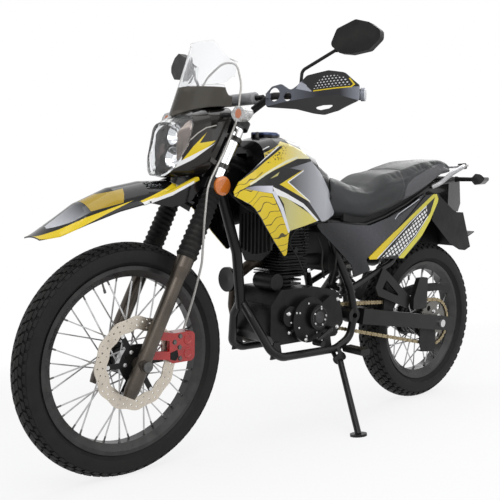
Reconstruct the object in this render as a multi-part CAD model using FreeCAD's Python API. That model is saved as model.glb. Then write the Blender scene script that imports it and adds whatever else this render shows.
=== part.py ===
import FreeCAD, Part
import math
import os
from FreeCAD import Matrix, Vector

# A dual sport motorcycle, in millimetres and degrees.
# It is drawn upright: x forward from the rear axle, y to its left, z up from the ground.
# At the end it is leaned to its left onto its side stand, and the origin goes to the
# middle of the ground under it.

# Driving dimensions
WHEELBASE = 1400.0
FRONT_TYRE_RADIUS = 346.0
REAR_TYRE_RADIUS = 322.0
RAKE = 26.5
LEAN = 9.0
STEERING_OFFSET = 40.0
LEG_SPACING = 95.0
FRONT_LEAD = 400.0
BODY_HEIGHT = 1000.0
RUNNING_GAP = 0.3
OVERRUN = 40.0

# The body grid runs from the rear axle to the tank's front, and from the ground to the tank's top
BODY_LENGTH = WHEELBASE - FRONT_LEAD

# Wheels
FRONT_TYRE_HALF = 42.0
REAR_TYRE_HALF = 54.0
FRONT_BEAD_RADIUS = 270.0
REAR_BEAD_RADIUS = 233.0
BEAD_HALF_SHARE = 0.62
RIM_FLANGE = 8.0
RIM_DEPTH = 24.0
RIM_WALL = 4.0
TREAD_HEIGHT = 7.0
FRONT_BLOCKS = 36
REAR_BLOCKS = 30
BLOCK_FILL_SHARE = 0.6
SPOKES = 36
SPOKE_WIDTH = 3.6
SPOKE_CROSS = 62.0
FRONT_HUB_RADIUS = 30.0
FRONT_FLANGE_RADIUS = 46.0
FRONT_HUB_HALF = 38.0
REAR_HUB_RADIUS = 62.0
REAR_FLANGE_RADIUS = 74.0
REAR_HUB_HALF = 52.0
HUB_FLANGE = 5.0
AXLE_RADIUS = 8.0
AXLE_HEAD = 15.0
AXLE_HEAD_DEPTH = 9.0

# Front brake
DISC_RADIUS = 138.0
DISC_INNER = 90.0
DISC_THICKNESS = 4.0
DISC_PLANE = 63.0
DISC_LOBES = 12
DISC_WAVE = 5.0
DISC_ARMS = 6
DISC_ARM_WIDTH = 14.0
CARRIER_RADIUS = 50.0

# Rear drive
REAR_SPROCKET_RADIUS = 91.0
FRONT_SPROCKET_RADIUS = 38.0
SPROCKET_TEETH = 40
TOOTH_HEIGHT = 6.0
SPROCKET_THICKNESS = 6.0
CHAIN_PLANE = 84.0
CHAIN_WIDTH = 17.0
CHAIN_HEIGHT = 16.0
CHAIN_PITCH = 15.9
CHAIN_GROOVE = 8.0
CHAIN_CLEARANCE = 1.5
FRONT_SPROCKET_SHARES = (0.620, 0.410)

# Fork, measured up the leg from the axle
LEG_BOTTOM = -98.0
LEG_TOP = 335.0
LEG_RADIUS = 22.0
LEG_COLLAR = 27.0
LEG_COLLAR_HEIGHT = 34.0
FORK_TUBE_RADIUS = 18.5
FORK_TUBE_BOTTOM = 205.0
FORK_TUBE_TOP = 806.0
GAITER_TOP = 553.0
GAITER_LOW_RADIUS = 33.0
GAITER_HIGH_RADIUS = 29.0
GAITER_PLEAT = 4.0
GAITER_PLEATS = 13
LOWER_CLAMP = 555.0
LOWER_CLAMP_DEPTH = 36.0
UPPER_CLAMP = 770.0
UPPER_CLAMP_DEPTH = 24.0
CLAMP_WALL = 11.0
STEM_RADIUS = 15.0
HEAD_TUBE_RADIUS = 27.0
STEM_HEAD_GAP = 0.5

# Drawing limits
ROUND_LIMIT_SHARE = 0.45
STRAIGHT_TURN = math.radians(179.0)
CLOSE = 1e-6
AXIS_UPRIGHT_SHARE = 0.9
SECTION_ARCS = 8

# Handlebar and what it carries, with places on the nose grid
NOSE_UNIT = 100.0
BAR_RADIUS = 11.0
BAR_BEND = 40.0
BAR_SHARES = ((10.06, 0.0, 10.80), (10.06, 0.75, 10.80), (9.96, 1.75, 11.32), (8.56, 4.10, 11.32))
CROSSBAR_SHARES = (10.00, 1.42, 11.30)
CROSSBAR_RADIUS = 8.0
BAR_PAD_RADIUS = 19.0
BAR_PAD_HALF = 112.0
RISER_RADIUS = 17.0
RISER_HALF = 30.0
GRIP_RADIUS = 16.5
GRIP_LENGTH = 122.0
SWITCH_LENGTH = 46.0
SWITCH_SIZE = 38.0
PERCH_LENGTH = 30.0
PERCH_RADIUS = 17.0
LEVER_WIDTH = 9.0
LEVER_HEIGHT = 14.0
LEVER_REACH = 24.0
LEVER_LENGTH = 165.0
MIRROR_STEM_RADIUS = 5.0
MIRROR_STEM_SHARES = ((9.48, 2.56, 12.05), (9.02, 3.52, 12.62))
MIRROR_CENTRE_SHARES = (8.98, 4.22, 12.86)
MIRROR_SHARES = ((-0.84, -0.16), (-0.62, 0.32), (0.02, 0.55), (0.48, 0.42), (0.86, 0.14),
                 (0.86, -0.10), (0.50, -0.42), (-0.10, -0.50), (-0.50, -0.44))
MIRROR_SIZE = 92.0
MIRROR_DEPTH = 26.0
MIRROR_ROUND = 14.0
GUARD_WALL = 4.0
GUARD_PLAN_SHARES = ((10.12, 1.55), (9.98, 2.30), (9.66, 3.05), (9.26, 3.75), (8.97, 4.08), (8.81, 4.22))
GUARD_FACE_SHARES = ((1.66, 11.38), (1.90, 11.58), (2.22, 11.64), (2.52, 11.44), (2.70, 11.56),
                     (2.98, 11.85), (3.55, 11.98), (3.92, 11.92), (4.22, 11.56), (4.22, 11.12),
                     (3.80, 10.82), (3.46, 10.70), (3.20, 10.74), (2.70, 10.88), (1.66, 10.98))
GUARD_ROUND = 14.0
GUARD_HOLE_SHARES = ((1.98, 11.34, 0.20), (2.42, 11.26, 0.13))
GUARD_SLOT_SHARES = ((3.16, 10.91), (3.42, 10.98), (3.72, 10.99), (3.60, 10.89), (3.38, 10.84))

# Nose: fender, headlight mask, lens, screens, instruments
FENDER_WALL = 4.0
FENDER_STATION_SHARES = ((16.88, 0.45, 7.12, 7.17), (16.40, 0.69, 7.22, 7.50), (15.60, 0.70, 7.52, 8.05),
                         (14.60, 0.71, 7.86, 8.48), (13.60, 0.72, 8.10, 8.68), (12.60, 0.72, 8.22, 8.72),
                         (12.00, 0.60, 8.14, 8.54), (11.30, 0.54, 7.78, 8.14))
MASK_STATION_SHARES = ((13.10, 0.16, 8.95, 9.10), (12.98, 0.42, 8.84, 9.60), (12.70, 0.64, 8.80, 10.44),
                       (12.20, 0.82, 8.80, 10.70), (11.60, 0.95, 8.84, 10.90), (10.40, 1.00, 8.96, 11.05))
MASK_SQUARE = 0.42
MASK_WALL = 5.0
MASK_FORK_GAP = 6.0
LENS_FRONT_SHARES = ((13.60, 8.60), (13.60, 10.90), (12.10, 10.62), (12.30, 9.80), (12.62, 9.22), (12.88, 8.80))
SCREEN_WALL = 3.0
SCREEN_LOW_SHARES = ((11.00, 0.98), (11.60, 0.90), (12.10, 0.62), (12.42, 0.0))
SCREEN_HIGH_SHARES = ((10.62, 0.98), (10.92, 0.90), (11.22, 0.62), (11.40, 0.0))
SCREEN_LOW = 1055.0
SCREEN_HIGH = 1310.0
SCREEN_SEAM_SHARES = ((0.92, 11.62), (0.0, 11.52), (-0.92, 11.62))
SMOKED_SHARES = ((-0.98, 10.98), (0.0, 10.62), (0.98, 10.98))
CLEAR_SHARES = ((-1.00, 12.30), (-0.62, 12.96), (0.62, 12.96), (1.00, 12.30))
SCREEN_ROUND = 16.0
INSTRUMENT_SHARES = (11.05, 0.0, 11.28)
INSTRUMENT_LENGTH = 58.0
INSTRUMENT_WIDTH = 124.0
INSTRUMENT_HEIGHT = 62.0
INDICATOR_SHARES = (11.14, 1.78, 10.70)
INDICATOR_LENGTH = 66.0
INDICATOR_HEIGHT = 46.0
INDICATOR_WIDTH = 34.0
INDICATOR_STEM_RADIUS = 7.0
REFLECTOR_RADIUS = 29.0
REFLECTOR_DEPTH = 10.0

# Caliper and hoses
CALIPER_LENGTH = 92.0
CALIPER_HEIGHT = 90.0
CALIPER_WIDTH = 44.0
CALIPER_BACK = 146.0
CALIPER_UP = 32.0
CALIPER_SLOT = 8.0
HOSE_RADIUS = 3.4
FRONT_CROWN = 52.0
REAR_CROWN = 70.0
TREAD_SPAN_SHARE = 0.86
RIM_WELL_SHARE = 0.62
SPOKE_RIM_SHARE = 0.2
LEG_FOOT_SHARE = 0.8
AXLE_BOSS_RADIUS = 20.0
AXLE_BOSS_HALF = 24.0
CLAMP_BRIDGE_SHARE = 0.8
STEM_NUT = 16.0
STEM_NUT_WALL = 6.0
RISER_CAP = 3.0
RISER_WIDTH_SHARE = 0.75
BAR_PAD_EDGE = 6.0
BAR_END_GAP = 2.0
GRIP_COLLAR = 2.5
NOSE_WHEELBASE = 1400.0
GUARD_LOW = 1060.0
GUARD_HIGH = 1220.0
GUARD_BACK_SHARE = 8.0
GUARD_FRONT_SHARE = 11.0
GUARD_CLIP_SHARE = 1.80
GUARD_CAP_DEPTH = 12.0
GUARD_CAP_SHARE = 1.2
CLIP_WIDTH = 14.0
MIRROR_BEND = 20.0
MIRROR_TURN = -15.0
MIRROR_BALL_SHARE = 1.7
MIRROR_FOOT_GAP = 1.8
WING_SHARES = ((13.75, 8.08), (11.95, 8.86), (11.88, 8.50), (12.20, 8.14), (12.90, 7.94))
WING_INNER = 68.0
WING_OUTER = 80.0
WING_ROUND = 5.0
FENDER_FOOT_SHARE = 0.6
FENDER_PAD_DEPTH = 26.0
FENDER_PAD_RADIUS = 18.0
MASK_REACH = 200.0
MASK_REACH_SHARE = 6.0
STAY_HEIGHTS = (628.0, 722.0)
STAY_DEPTH = 14.0
STAY_WALL = 5.0
STAY_INSET = 6.0
STAY_REACH = 16.0
LENS_DEPTH = 9.0
SCREEN_BACK_SHARE = 9.5
SCREEN_FRONT_SHARE = 13.5
INSTRUMENT_ROUND = 10.0
INSTRUMENT_ARM = 8.0
INSTRUMENT_ARM_SHARE = 0.5
LEAF_SHARES = ((-0.50, 0.0), (-0.16, 0.50), (0.24, 0.42), (0.56, 0.04), (0.22, -0.40), (-0.18, -0.50))
LEAF_ROUND_SHARE = 0.22
LENS_EDGE_SHARE = 0.7
CALIPER_ROUND = 16.0
CALIPER_LUG = 12.0
CALIPER_LUG_SHARE = 0.3
HOSE_SHARES = ((12.45, 0.80, 4.30), (12.25, 0.98, 5.20), (12.16, 1.28, 6.30), (12.14, 1.34, 7.50),
               (11.95, 1.24, 8.60), (11.30, 1.26, 9.70), (10.86, 1.24, 10.60), (10.40, 0.86, 11.70),
               (10.20, 0.40, 12.40), (10.20, -0.30, 12.50), (10.20, -1.10, 12.10), (9.98, -1.90, 11.62))
HOSE_LARGEST_BEND = 160.0
FLANK_SHARE = 0.55
INSTRUMENT_FOOT_SHARE = 0.1
SCREEN_WRAP = 6.0
CARRIER_REACH_SHARE = 0.8
TOOTH_SHARES = (0.0, 0.35, 0.5, 0.85)

# Frame, on the body grid with y in shares of a half width
CRADLE_HALF = 105.0
CRADLE_RADIUS = 14.0
FRAME_BEND = 60.0
BACKBONE_HEIGHT = 700.0
BACKBONE_RADIUS = 20.0
BACKBONE_SHARES = ((0.760, 0.868, 0.0), (0.668, 0.815, 0.0), (0.622, 0.742, 0.0))
DOWNTUBE_HEIGHT = 655.0
DOWNTUBE_RADIUS = 17.0
DOWNTUBE_SHARES = ((0.975, 0.640, 0.0), (0.952, 0.455, 0.0))
GUSSET_WALL = 6.0
GUSSET_SHARES = (0.35, 0.45)
CRADLE_SHARES = ((0.952, 0.470, 0.10), (0.946, 0.430, 0.42), (0.905, 0.318, 0.96), (0.860, 0.296, 1.0),
                 (0.600, 0.292, 1.0), (0.532, 0.325, 1.04), (0.512, 0.410, 1.05), (0.530, 0.500, 0.985),
                 (0.585, 0.620, 0.82), (0.622, 0.742, 0.60))
RAIL_HALF = 85.0
RAIL_RADIUS = 11.0
RAIL_SHARES = ((0.622, 0.740, 0.72), (0.444, 0.724, 1.0), (0.337, 0.750, 1.0), (0.203, 0.799, 1.0),
               (0.040, 0.876, 0.98), (-0.105, 0.897, 0.94))
STRUT_SHARES = ((0.530, 0.498, 0.98), (0.300, 0.583, 0.98), (0.100, 0.838, 0.84))
SHOCK_CROSS_SHARES = (0.470, 0.727)
PIVOT_SHARES = (0.520, 0.404)
PIVOT_HALF = 84.0
PIVOT_BOSS_RADIUS = 28.0
PIVOT_BOLT_RADIUS = 9.0
PIVOT_SLEEVE_RADIUS = 24.0
ENGINE_TAB_SHARES = (0.640, 0.880)
ENGINE_TAB_FOOT = 26.0
ENGINE_TAB_HEAD = 14.0
ENGINE_TAB_WALL = 6.0
ENGINE_TAB_RISE = 12.0

# Engine
CRANKCASE_HALF = 95.0
CRANKCASE_ROUND = 14.0
CRANKCASE_SHARES = ((0.560, 0.368), (0.590, 0.335), (0.880, 0.335), (0.905, 0.370), (0.905, 0.470), (0.860, 0.519),
                    (0.700, 0.519), (0.600, 0.500), (0.560, 0.470))
COVER_WALL = 10.0
COVERS_SHARES = ((0.745, 0.412, 0.82, 1, 1.24), (0.712, 0.419, 0.46, 1, 1.39), (0.700, 0.420, 0.82, -1, 1.34),
                 (0.700, 0.420, 0.50, -1, 1.42), (0.828, 0.430, 0.36, 1, 1.16))
POCKET_SHARES = ((0.540, 0.346), (0.655, 0.354), (0.672, 0.382), (0.672, 0.438), (0.655, 0.466), (0.540, 0.466))
POCKET_DEPTH = 26.0
SPROCKET_COVER_SHARES = ((0.572, 0.385), (0.600, 0.354), (0.672, 0.350), (0.690, 0.400), (0.684, 0.462),
                         (0.640, 0.486), (0.590, 0.464))
SPROCKET_COVER_WALL = 17.0
OUTPUT_SHAFT_RADIUS = 13.0
STARTER_SHARES = (0.863, 0.543)
STARTER_RADIUS = 28.0
STARTER_Y_SHARES = (-0.15, 0.80)
CYLINDER_SHARES = (0.780, 0.519)
CYLINDER_RADIUS = 40.0
CYLINDER_HEIGHT = 165.0
FINS = 11
BARREL_FINS = 6
FIN_START = 10.0
FIN_PITCH = 13.5
FIN_THICKNESS = 4.0
FIN_LENGTH = 100.0
FIN_WIDTH = 136.0
FIN_HEAD_SHARE = 1.06
FIN_ROUND = 22.0
HEAD_BLOCK = 96.0
HEAD_LENGTH = 102.0
HEAD_WIDTH = 100.0
ROCKER_LENGTH = 92.0
ROCKER_WIDTH = 112.0
ROCKER_HEIGHT = 36.0
ROCKER_ROUND = 12.0
PLUG_LEVEL = 128.0
PLUG_SHARE = 0.58
PLUG_RADIUS = 9.0
PORT_LEVEL = 82.0
CARB_LENGTH = 62.0
CARB_RADIUS = 24.0
CARB_BOWL = 52.0
CARB_BOWL_SHARE = 0.8
CARB_CAP = 58.0
INTAKE_HOSE_SHARE = 0.9
AIRBOX_HALF = 58.0
AIRBOX_SHARES = ((0.600, 0.560), (0.600, 0.700), (0.585, 0.718), (0.516, 0.718), (0.516, 0.640), (0.540, 0.560))
HORN_SHARES = (0.932, 0.543, -0.72)
HORN_RADIUS = 42.0
HORN_DEPTH = 24.0
HORN_FACE_SHARE = 0.7
HORN_STRAP = 4.0
HORN_STRAP_WIDTH = 24.0

# Exhaust, with y in shares of its own half width
EXHAUST_HALF = 165.0
HEADER_RADIUS = 19.0
HEADER_BEND = 70.0
PORT_Y_SHARE = -0.22
HEADER_SHARES = ((0.872, 0.6013, -0.22), (0.886, 0.545, -0.67), (0.876, 0.440, -0.80), (0.840, 0.340, -0.86),
                 (0.790, 0.312, -0.87), (0.645, 0.312, -0.87), (0.550, 0.347, -0.87), (0.450, 0.395, -0.91),
                 (0.330, 0.500, -0.98), (0.250, 0.5414, -1.0))
MUFFLER_START_SHARES = (0.180, 0.560, -1.0)
MUFFLER_END_SHARES = (-0.290, 0.685, -1.0)
MUFFLER_RADIUS = 50.0
MUFFLER_CONE = 60.0
MUFFLER_TAIL = 26.0
MUFFLER_SPOUT = 20.0
MUFFLER_SPOUT_RADIUS = 20.0
MUFFLER_SPOUT_WALL = 2.5
MUFFLER_SOCKET = 16.0
MUFFLER_HANGER_SHARES = (0.020, 0.640, 0.84)
MUFFLER_HANGER_WALL = 6.0

# Tank, with widths in shares of its half width
TANK_HALF = 138.0
TANK_SQUARE = 0.30
TANK_WAIST_SHARE = 0.35
TANK_STATION_SHARES = ((0.962, 0.45, 0.875, 0.985), (0.945, 0.70, 0.858, 1.006), (0.900, 0.93, 0.842, 1.020),
                       (0.855, 1.00, 0.828, 1.024), (0.800, 1.00, 0.815, 1.012), (0.720, 0.88, 0.790, 0.985),
                       (0.650, 0.70, 0.775, 0.945), (0.610, 0.54, 0.765, 0.918))
TUNNEL_HALF = 26.0
TUNNEL_SHARES = ((1.060, 0.700), (1.060, 0.990), (0.752, 0.908), (0.640, 0.850), (0.575, 0.765), (0.575, 0.700))
CAP_SHARES = (0.855, 1.026)
CAP_RING = 30.0
CAP_RADIUS = 45.0
CAP_HEIGHT = 10.0
FILLER_RADIUS = 24.0
FILLER_DEPTH = 60.0
LID_HINGE_REACH = 5.0
LID_HINGE_RISE = 5.0
LID_BARREL = 5.0
LID_BARREL_HALF = 8.0
LID_EAR = 6.0
LID_PIN = 2.0
SHROUD_LEVEL_SHARES = (0.580, 0.800, 0.930, 1.030)
SHROUD_STATION_SHARES = ((0.590, (0.60, 0.63, 0.60, 0.43)), (0.700, (0.89, 0.93, 0.89, 0.68)),
                         (0.800, (1.02, 1.06, 1.02, 0.82)), (0.900, (1.06, 1.11, 1.07, 0.88)),
                         (1.000, (1.12, 1.16, 1.13, 1.00)), (1.045, (1.19, 1.22, 1.20, 1.12)),
                         (1.145, (1.20, 1.23, 1.22, 1.18)))
SHROUD_SHARES = ((1.138, 0.832), (1.109, 0.875), (1.046, 0.916), (0.929, 0.985), (0.860, 0.988), (0.788, 0.958),
                 (0.766, 0.938), (0.740, 0.894), (0.612, 0.768), (0.691, 0.741), (0.731, 0.748), (0.881, 0.718),
                 (0.889, 0.626), (0.957, 0.696), (1.015, 0.763), (1.045, 0.790), (1.065, 0.804))
PANEL_WALL = 4.0
PANEL_ROUND = 10.0
SHROUD_STAY_SHARES = ((0.700, 0.800), (0.960, 0.880))
SHROUD_STAY_RADIUS = 8.0

# Seat, covers and tail
SEAT_SQUARE = 0.40
SEAT_STATION_SHARES = ((0.745, 0.52, 0.800, 0.948), (0.660, 0.62, 0.768, 0.922), (0.600, 0.71, 0.756, 0.893),
                       (0.517, 0.81, 0.747, 0.872), (0.450, 0.87, 0.742, 0.888), (0.417, 0.89, 0.745, 0.913),
                       (0.327, 0.93, 0.771, 0.928), (0.203, 0.94, 0.820, 0.949), (0.100, 0.90, 0.864, 0.964),
                       (0.000, 0.82, 0.912, 0.971), (-0.060, 0.71, 0.921, 0.957), (-0.090, 0.58, 0.926, 0.940))
SEAT_FRONT_SHARES = ((0.745, 0.940), (0.617, 0.764), (0.617, 0.700), (0.900, 0.700), (0.900, 1.050), (0.830, 1.050))
COVER_LEVEL_SHARES = (0.520, 0.700, 0.860)
COVER_STATION_SHARES = ((0.720, (0.62, 0.62, 0.55)), (0.600, (0.75, 0.75, 0.67)), (0.480, (0.83, 0.82, 0.75)),
                        (0.300, (0.89, 0.87, 0.80)), (0.100, (0.87, 0.86, 0.79)))
SEAM_SHARES = ((0.120, 0.835), (0.200, 0.775), (0.290, 0.712), (0.380, 0.655), (0.462, 0.602))
SIDE_COVER_SHARES = ((0.438, 0.562), (0.520, 0.540), (0.534, 0.584), (0.675, 0.705), (0.697, 0.733), (0.619, 0.738),
                     (0.525, 0.728), (0.444, 0.724), (0.337, 0.752), (0.203, 0.801), (0.150, 0.830))
SEAM_GAP = 0.5
TAIL_LEVEL_SHARES = (0.580, 0.720, 0.860)
TAIL_STATION_SHARES = ((0.500, (0.87, 0.86, 0.80)), (0.250, (0.89, 0.88, 0.83)), (0.020, (0.87, 0.87, 0.83)))
TAIL_PANEL_SHARES = ((0.033, 0.840), (0.044, 0.806), (0.095, 0.733), (0.160, 0.660), (0.253, 0.597))
REAR_FENDER_HALF = 80.0
FENDER_ROOF_SHARES = ((0.062, 0.8535), (-0.010, 0.838), (-0.116, 0.775), (-0.143, 0.765), (-0.191, 0.763),
                      (-0.211, 0.717), (-0.254, 0.617), (-0.250, 0.615), (-0.206, 0.713), (-0.188, 0.759),
                      (-0.142, 0.761), (-0.114, 0.770), (-0.008, 0.833), (0.062, 0.8490))
SKIRT_SHARES = ((-0.010, 0.838), (-0.116, 0.775), (-0.143, 0.765), (-0.191, 0.763), (-0.211, 0.717), (-0.254, 0.617),
                (-0.216, 0.603), (-0.178, 0.607), (-0.103, 0.637), (0.024, 0.735), (0.017, 0.800))
SKIRT_ROUND = 5.0
HOLDER_SHARES = ((-0.240, 0.650), (-0.310, 0.678))
HOLDER_WIDTH = 120.0
RACK_HALF = 112.0
RACK_RADIUS = 9.0
RACK_SHARES = ((0.060, 0.866, 0.862), (0.030, 0.880, 1.0), (-0.060, 0.925, 1.0), (-0.140, 0.947, 0.88),
               (-0.205, 0.956, 0.58))
RACK_DECK_SHARES = ((-0.105, 0.944), (-0.215, 0.954), (-0.215, 0.962), (-0.105, 0.952))
RACK_DECK_HALF = 80.0
RACK_POST_SHARES = (-0.098, 0.90)
RACK_SLOTS_SHARES = (-0.145, -0.175)
RACK_BOLT_HALF = 38.0
RACK_BOLT_RADIUS = 3.2
RACK_SLOT = 14.0
RACK_SLOT_HALF = 50.0
TAIL_LIGHT_SHARES = ((-0.116, 0.7766), (-0.143, 0.7653), (-0.190, 0.7653), (-0.205, 0.800), (-0.192, 0.905),
                     (-0.128, 0.912), (-0.1165, 0.888))
TAIL_LIGHT_HALF = 55.0
REAR_INDICATOR_SHARES = (-0.152, 0.900, 2.20)

# Swingarm, rear axle, shock
ARM_PLANE = 112.0
ARM_WIDTH = 28.0
ARM_HEIGHT = 56.0
ARM_TAIL = 80.0
ARM_NOSE = 50.0
YOKE_SHARE = 0.825
YOKE_LENGTH = 45.0
LINK_PLANE = 69.0
LINK_WIDTH = 30.0
BRAKE_GAP = 5.0
BRAKE_PLATE = 10.0
SHOCK_LOW_SHARES = (0.428, 0.4205)
SHOCK_HIGH_SHARES = (0.468, 0.7155)
SHOCK_EYE_RADIUS = 14.0
SHOCK_COLLAR = 34.0
SPRING_RADIUS = 34.0
SPRING_WIRE = 11.0
SPRING_TURNS = 8

# Chain guard and guide
GUARD_BLADE_SHARES = ((0.330, 0.385), (0.330, 0.455), (0.120, 0.483), (-0.020, 0.478), (-0.100, 0.457),
                      (-0.088, 0.432), (-0.020, 0.450), (0.100, 0.452), (0.245, 0.438), (0.285, 0.385))
GUARD_TOP_SHARES = ((0.330, 0.455), (0.120, 0.483), (-0.020, 0.478), (-0.100, 0.457), (-0.099, 0.454),
                    (-0.020, 0.475), (0.120, 0.480), (0.330, 0.452))
GUIDE_SHARES = ((0.000, 0.296), (0.100, 0.308), (0.100, 0.250), (0.085, 0.212), (0.008, 0.202), (-0.007, 0.222))
GUIDE_FLOOR_SHARES = ((0.008, 0.202), (0.085, 0.212), (0.085, 0.216), (0.008, 0.206))
GUARD_INNER = 74.0

# Pegs, pedals and stand
PEG_SHARES = (0.556, 0.291)
PEG_START = 121.0
PEG_LENGTH = 84.0
PEG_WIDTH = 48.0
PEG_HEIGHT = 22.0
PEG_LUG_RADIUS = 10.0
PEG_ROUND = 7.0
HANGER_WALL = 8.0
HANGER_SHARES = ((0.412, 0.497), (0.395, 0.465), (0.215, 0.402), (0.196, 0.440), (0.340, 0.548), (0.372, 0.568))
HANGER_WINDOW_SHARES = ((0.374, 0.489), (0.262, 0.448), (0.350, 0.520))
HANGER_ROUND = 8.0
PASSENGER_PEG_SHARES = ((0.120, 0.397), (0.205, 0.397), (0.205, 0.440), (0.173, 0.517), (0.120, 0.517))
PASSENGER_PEG_DEPTH = 18.0
PEDAL_RADIUS = 7.0
PEDAL_BEND = 16.0
TREAD_LENGTH = 34.0
TREAD_SHARE = 1.5
GEAR_LEVER_SHARES = ((0.655, 0.375, 1.183), (0.655, 0.375, 1.45), (0.740, 0.338, 1.50))
BRAKE_PEDAL_SHARES = ((0.600, 0.290, -1.280), (0.605, 0.264, -1.78), (0.690, 0.280, -1.80))
KICK_SHARES = ((0.600, 0.440, -1.004), (0.600, 0.440, -1.45), (0.562, 0.600, -1.52))
STAND_PIVOT_SHARES = (0.600, 0.262, 1.19)
STAND_FOOT_SHARES = (0.690, 2.857)
STAND_FOLDED_SHARES = (-1.0, 0.12, -0.03)
STAND_EAR_HALF = 12.0
STAND_EAR_WALL = 6.0
STAND_EAR_RADIUS = 16.0
STAND_EYE_RADIUS = 15.0
STAND_PIN_RADIUS = 6.0
STAND_RADIUS = 11.0
STAND_SOLE = 8.0
STAND_SOLE_RADIUS = 28.0
ORIGIN_X = 712.11
ORIGIN_Y = 201.40
def unit(vector):
    result = Vector(vector)
    result.normalize()
    return result


def body(x_share, z_share, y=0.0):
    """A point of the body grid, whose shares are of its length and height."""
    return Vector(x_share * BODY_LENGTH, y, z_share * BODY_HEIGHT)


RAKE_SINE = math.sin(math.radians(RAKE))
RAKE_COSINE = math.cos(math.radians(RAKE))
FORK_UP = Vector(-RAKE_SINE, 0, RAKE_COSINE)
FORK_FORWARD = Vector(RAKE_COSINE, 0, RAKE_SINE)
LEFTWARD = Vector(0, 1, 0)
FRONT_AXLE = Vector(WHEELBASE, 0, FRONT_TYRE_RADIUS)
REAR_AXLE = Vector(0, 0, REAR_TYRE_RADIUS)


def leg(height, y=0.0, forward=0.0):
    """A point up the fork leg from the front axle, and forward of the legs' plane."""
    return FRONT_AXLE + FORK_UP * height + FORK_FORWARD * forward + LEFTWARD * y


def stem(height):
    return leg(height, 0.0, -STEERING_OFFSET)


def body_path(shares, half):
    """Points of the body grid with their y in shares of a half width."""
    return [body(x, z, y * half) for x, z, y in shares]


def rounded_corner(before, corner, after, radius):
    """The start, middle and end of the arc that rounds a corner."""
    back = before - corner
    ahead = after - corner
    turn = back.getAngle(ahead)
    reach = radius / math.tan(turn / 2)
    longest = ROUND_LIMIT_SHARE * min(back.Length, ahead.Length)
    if reach > longest:
        reach = longest
        radius = reach * math.tan(turn / 2)
    start = corner + unit(back) * reach
    end = corner + unit(ahead) * reach
    inward = unit(unit(back) + unit(ahead))
    middle = corner + inward * (radius / math.sin(turn / 2) - radius)
    return start, middle, end


def rounded_edges(points, radius, closed):
    """Straight runs joined by tangent arcs."""
    count = len(points)
    edges = []
    here = None if closed else points[0]
    first = None
    corners = range(count) if closed else range(1, count - 1)
    for index in corners:
        before = points[index - 1]
        corner = points[index]
        after = points[(index + 1) % count]
        straight = (before - corner).getAngle(after - corner) > STRAIGHT_TURN
        if straight or radius == 0:
            start, middle, end = corner, None, corner
        else:
            start, middle, end = rounded_corner(before, corner, after, radius)
        if here is not None and here.distanceToPoint(start) > CLOSE:
            edges.append(Part.LineSegment(here, start).toShape())
        if middle is not None:
            edges.append(Part.Arc(start, middle, end).toShape())
        if first is None:
            first = start
        here = end
    last = first if closed else points[-1]
    if here.distanceToPoint(last) > CLOSE:
        edges.append(Part.LineSegment(here, last).toShape())
    return edges


def outline(points, radius=0.0):
    """A flat face with rounded corners."""
    return Part.Face(Part.Wire(rounded_edges(points, radius, True)))


def tube(points, radius, bend=0.0):
    """A round bar through the points, with its corners bent to tangent arcs."""
    path = Part.Wire(rounded_edges(points, bend, False))
    circle = Part.Circle(points[0], points[1] - points[0], radius)
    return path.makePipeShell([Part.Wire([circle.toShape()])], True, False)


def rod(start, end, radius):
    """A round bar between two points."""
    along = end - start
    return Part.makeCylinder(radius, along.Length, start, along)


def crosswise(centre, radius, half):
    """A round bar across the bike, of the given half length."""
    return rod(centre - LEFTWARD * half, centre + LEFTWARD * half, radius)


def turned(base, axis, profile):
    """A solid of revolution from a profile of heights along the axis and radii."""
    across = unit(axis.cross(Vector(0, 0, 1) if abs(unit(axis).z) < AXIS_UPRIGHT_SHARE else LEFTWARD))
    direction = unit(axis)
    points = [base + direction * height + across * radius for height, radius in profile]
    wire = Part.makePolygon(points + [points[0]])
    return Part.Face(wire).revolve(base, direction, 360)


def block(centre, length, width, height):
    """A box about its centre."""
    corner = centre - Vector(length / 2, width / 2, height / 2)
    return Part.makeBox(length, width, height, corner)


def bar(start, end, width, height, upward=Vector(0, 0, 1)):
    """A flat bar between two points, of a width across and a height along upward."""
    along = end - start
    side = unit(along.cross(upward))
    top = unit(side.cross(along))
    corners = [start + side * (width / 2 * s) + top * (height / 2 * t)
               for s, t in ((-1, -1), (1, -1), (1, 1), (-1, 1))]
    return outline(corners).extrude(along)


def fused(shapes):
    """One solid from touching ones."""
    return shapes[0].multiFuse(shapes[1:]).removeSplitter()


def apart(shapes):
    """Solids of one node that don't touch."""
    return Part.Compound([solid for shape in shapes for solid in shape.Solids])


def mirrored(shape):
    return shape.mirror(Vector(0, 0, 0), LEFTWARD)


def both_sides(shape):
    return apart([shape, mirrored(shape)])


def plate(points, inner, outer, radius=0.0):
    """An outline in the side view, thick from one y to another."""
    flat = [Vector(point.x, inner, point.z) for point in points]
    return outline(flat, radius).extrude(LEFTWARD * (outer - inner))


def side_plate(shares, inner, outer, radius=0.0):
    return plate([body(x, z) for x, z in shares], inner, outer, radius)


def smooth(points, closed=False):
    """A smooth curve through points."""
    curve = Part.BSplineCurve()
    curve.interpolate(points, PeriodicFlag=closed)
    return curve.toShape()


def oval_section(x, low, high, half, square, waist):
    """A closed section across the bike, from round to nearly square, of arcs."""
    middle = low + (high - low) * waist
    power = 1 - square

    def at(step):
        angle = math.pi * step / SECTION_ARCS
        across = math.copysign(abs(math.cos(angle)) ** power, math.cos(angle))
        upward = math.copysign(abs(math.sin(angle)) ** power, math.sin(angle))
        rise = high - middle if upward > 0 else middle - low
        return Vector(x, half * across, middle + rise * upward)

    return Part.Wire([Part.Arc(at(2 * arc - 1), at(2 * arc), at(2 * arc + 1)).toShape()
                      for arc in range(SECTION_ARCS)])


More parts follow.
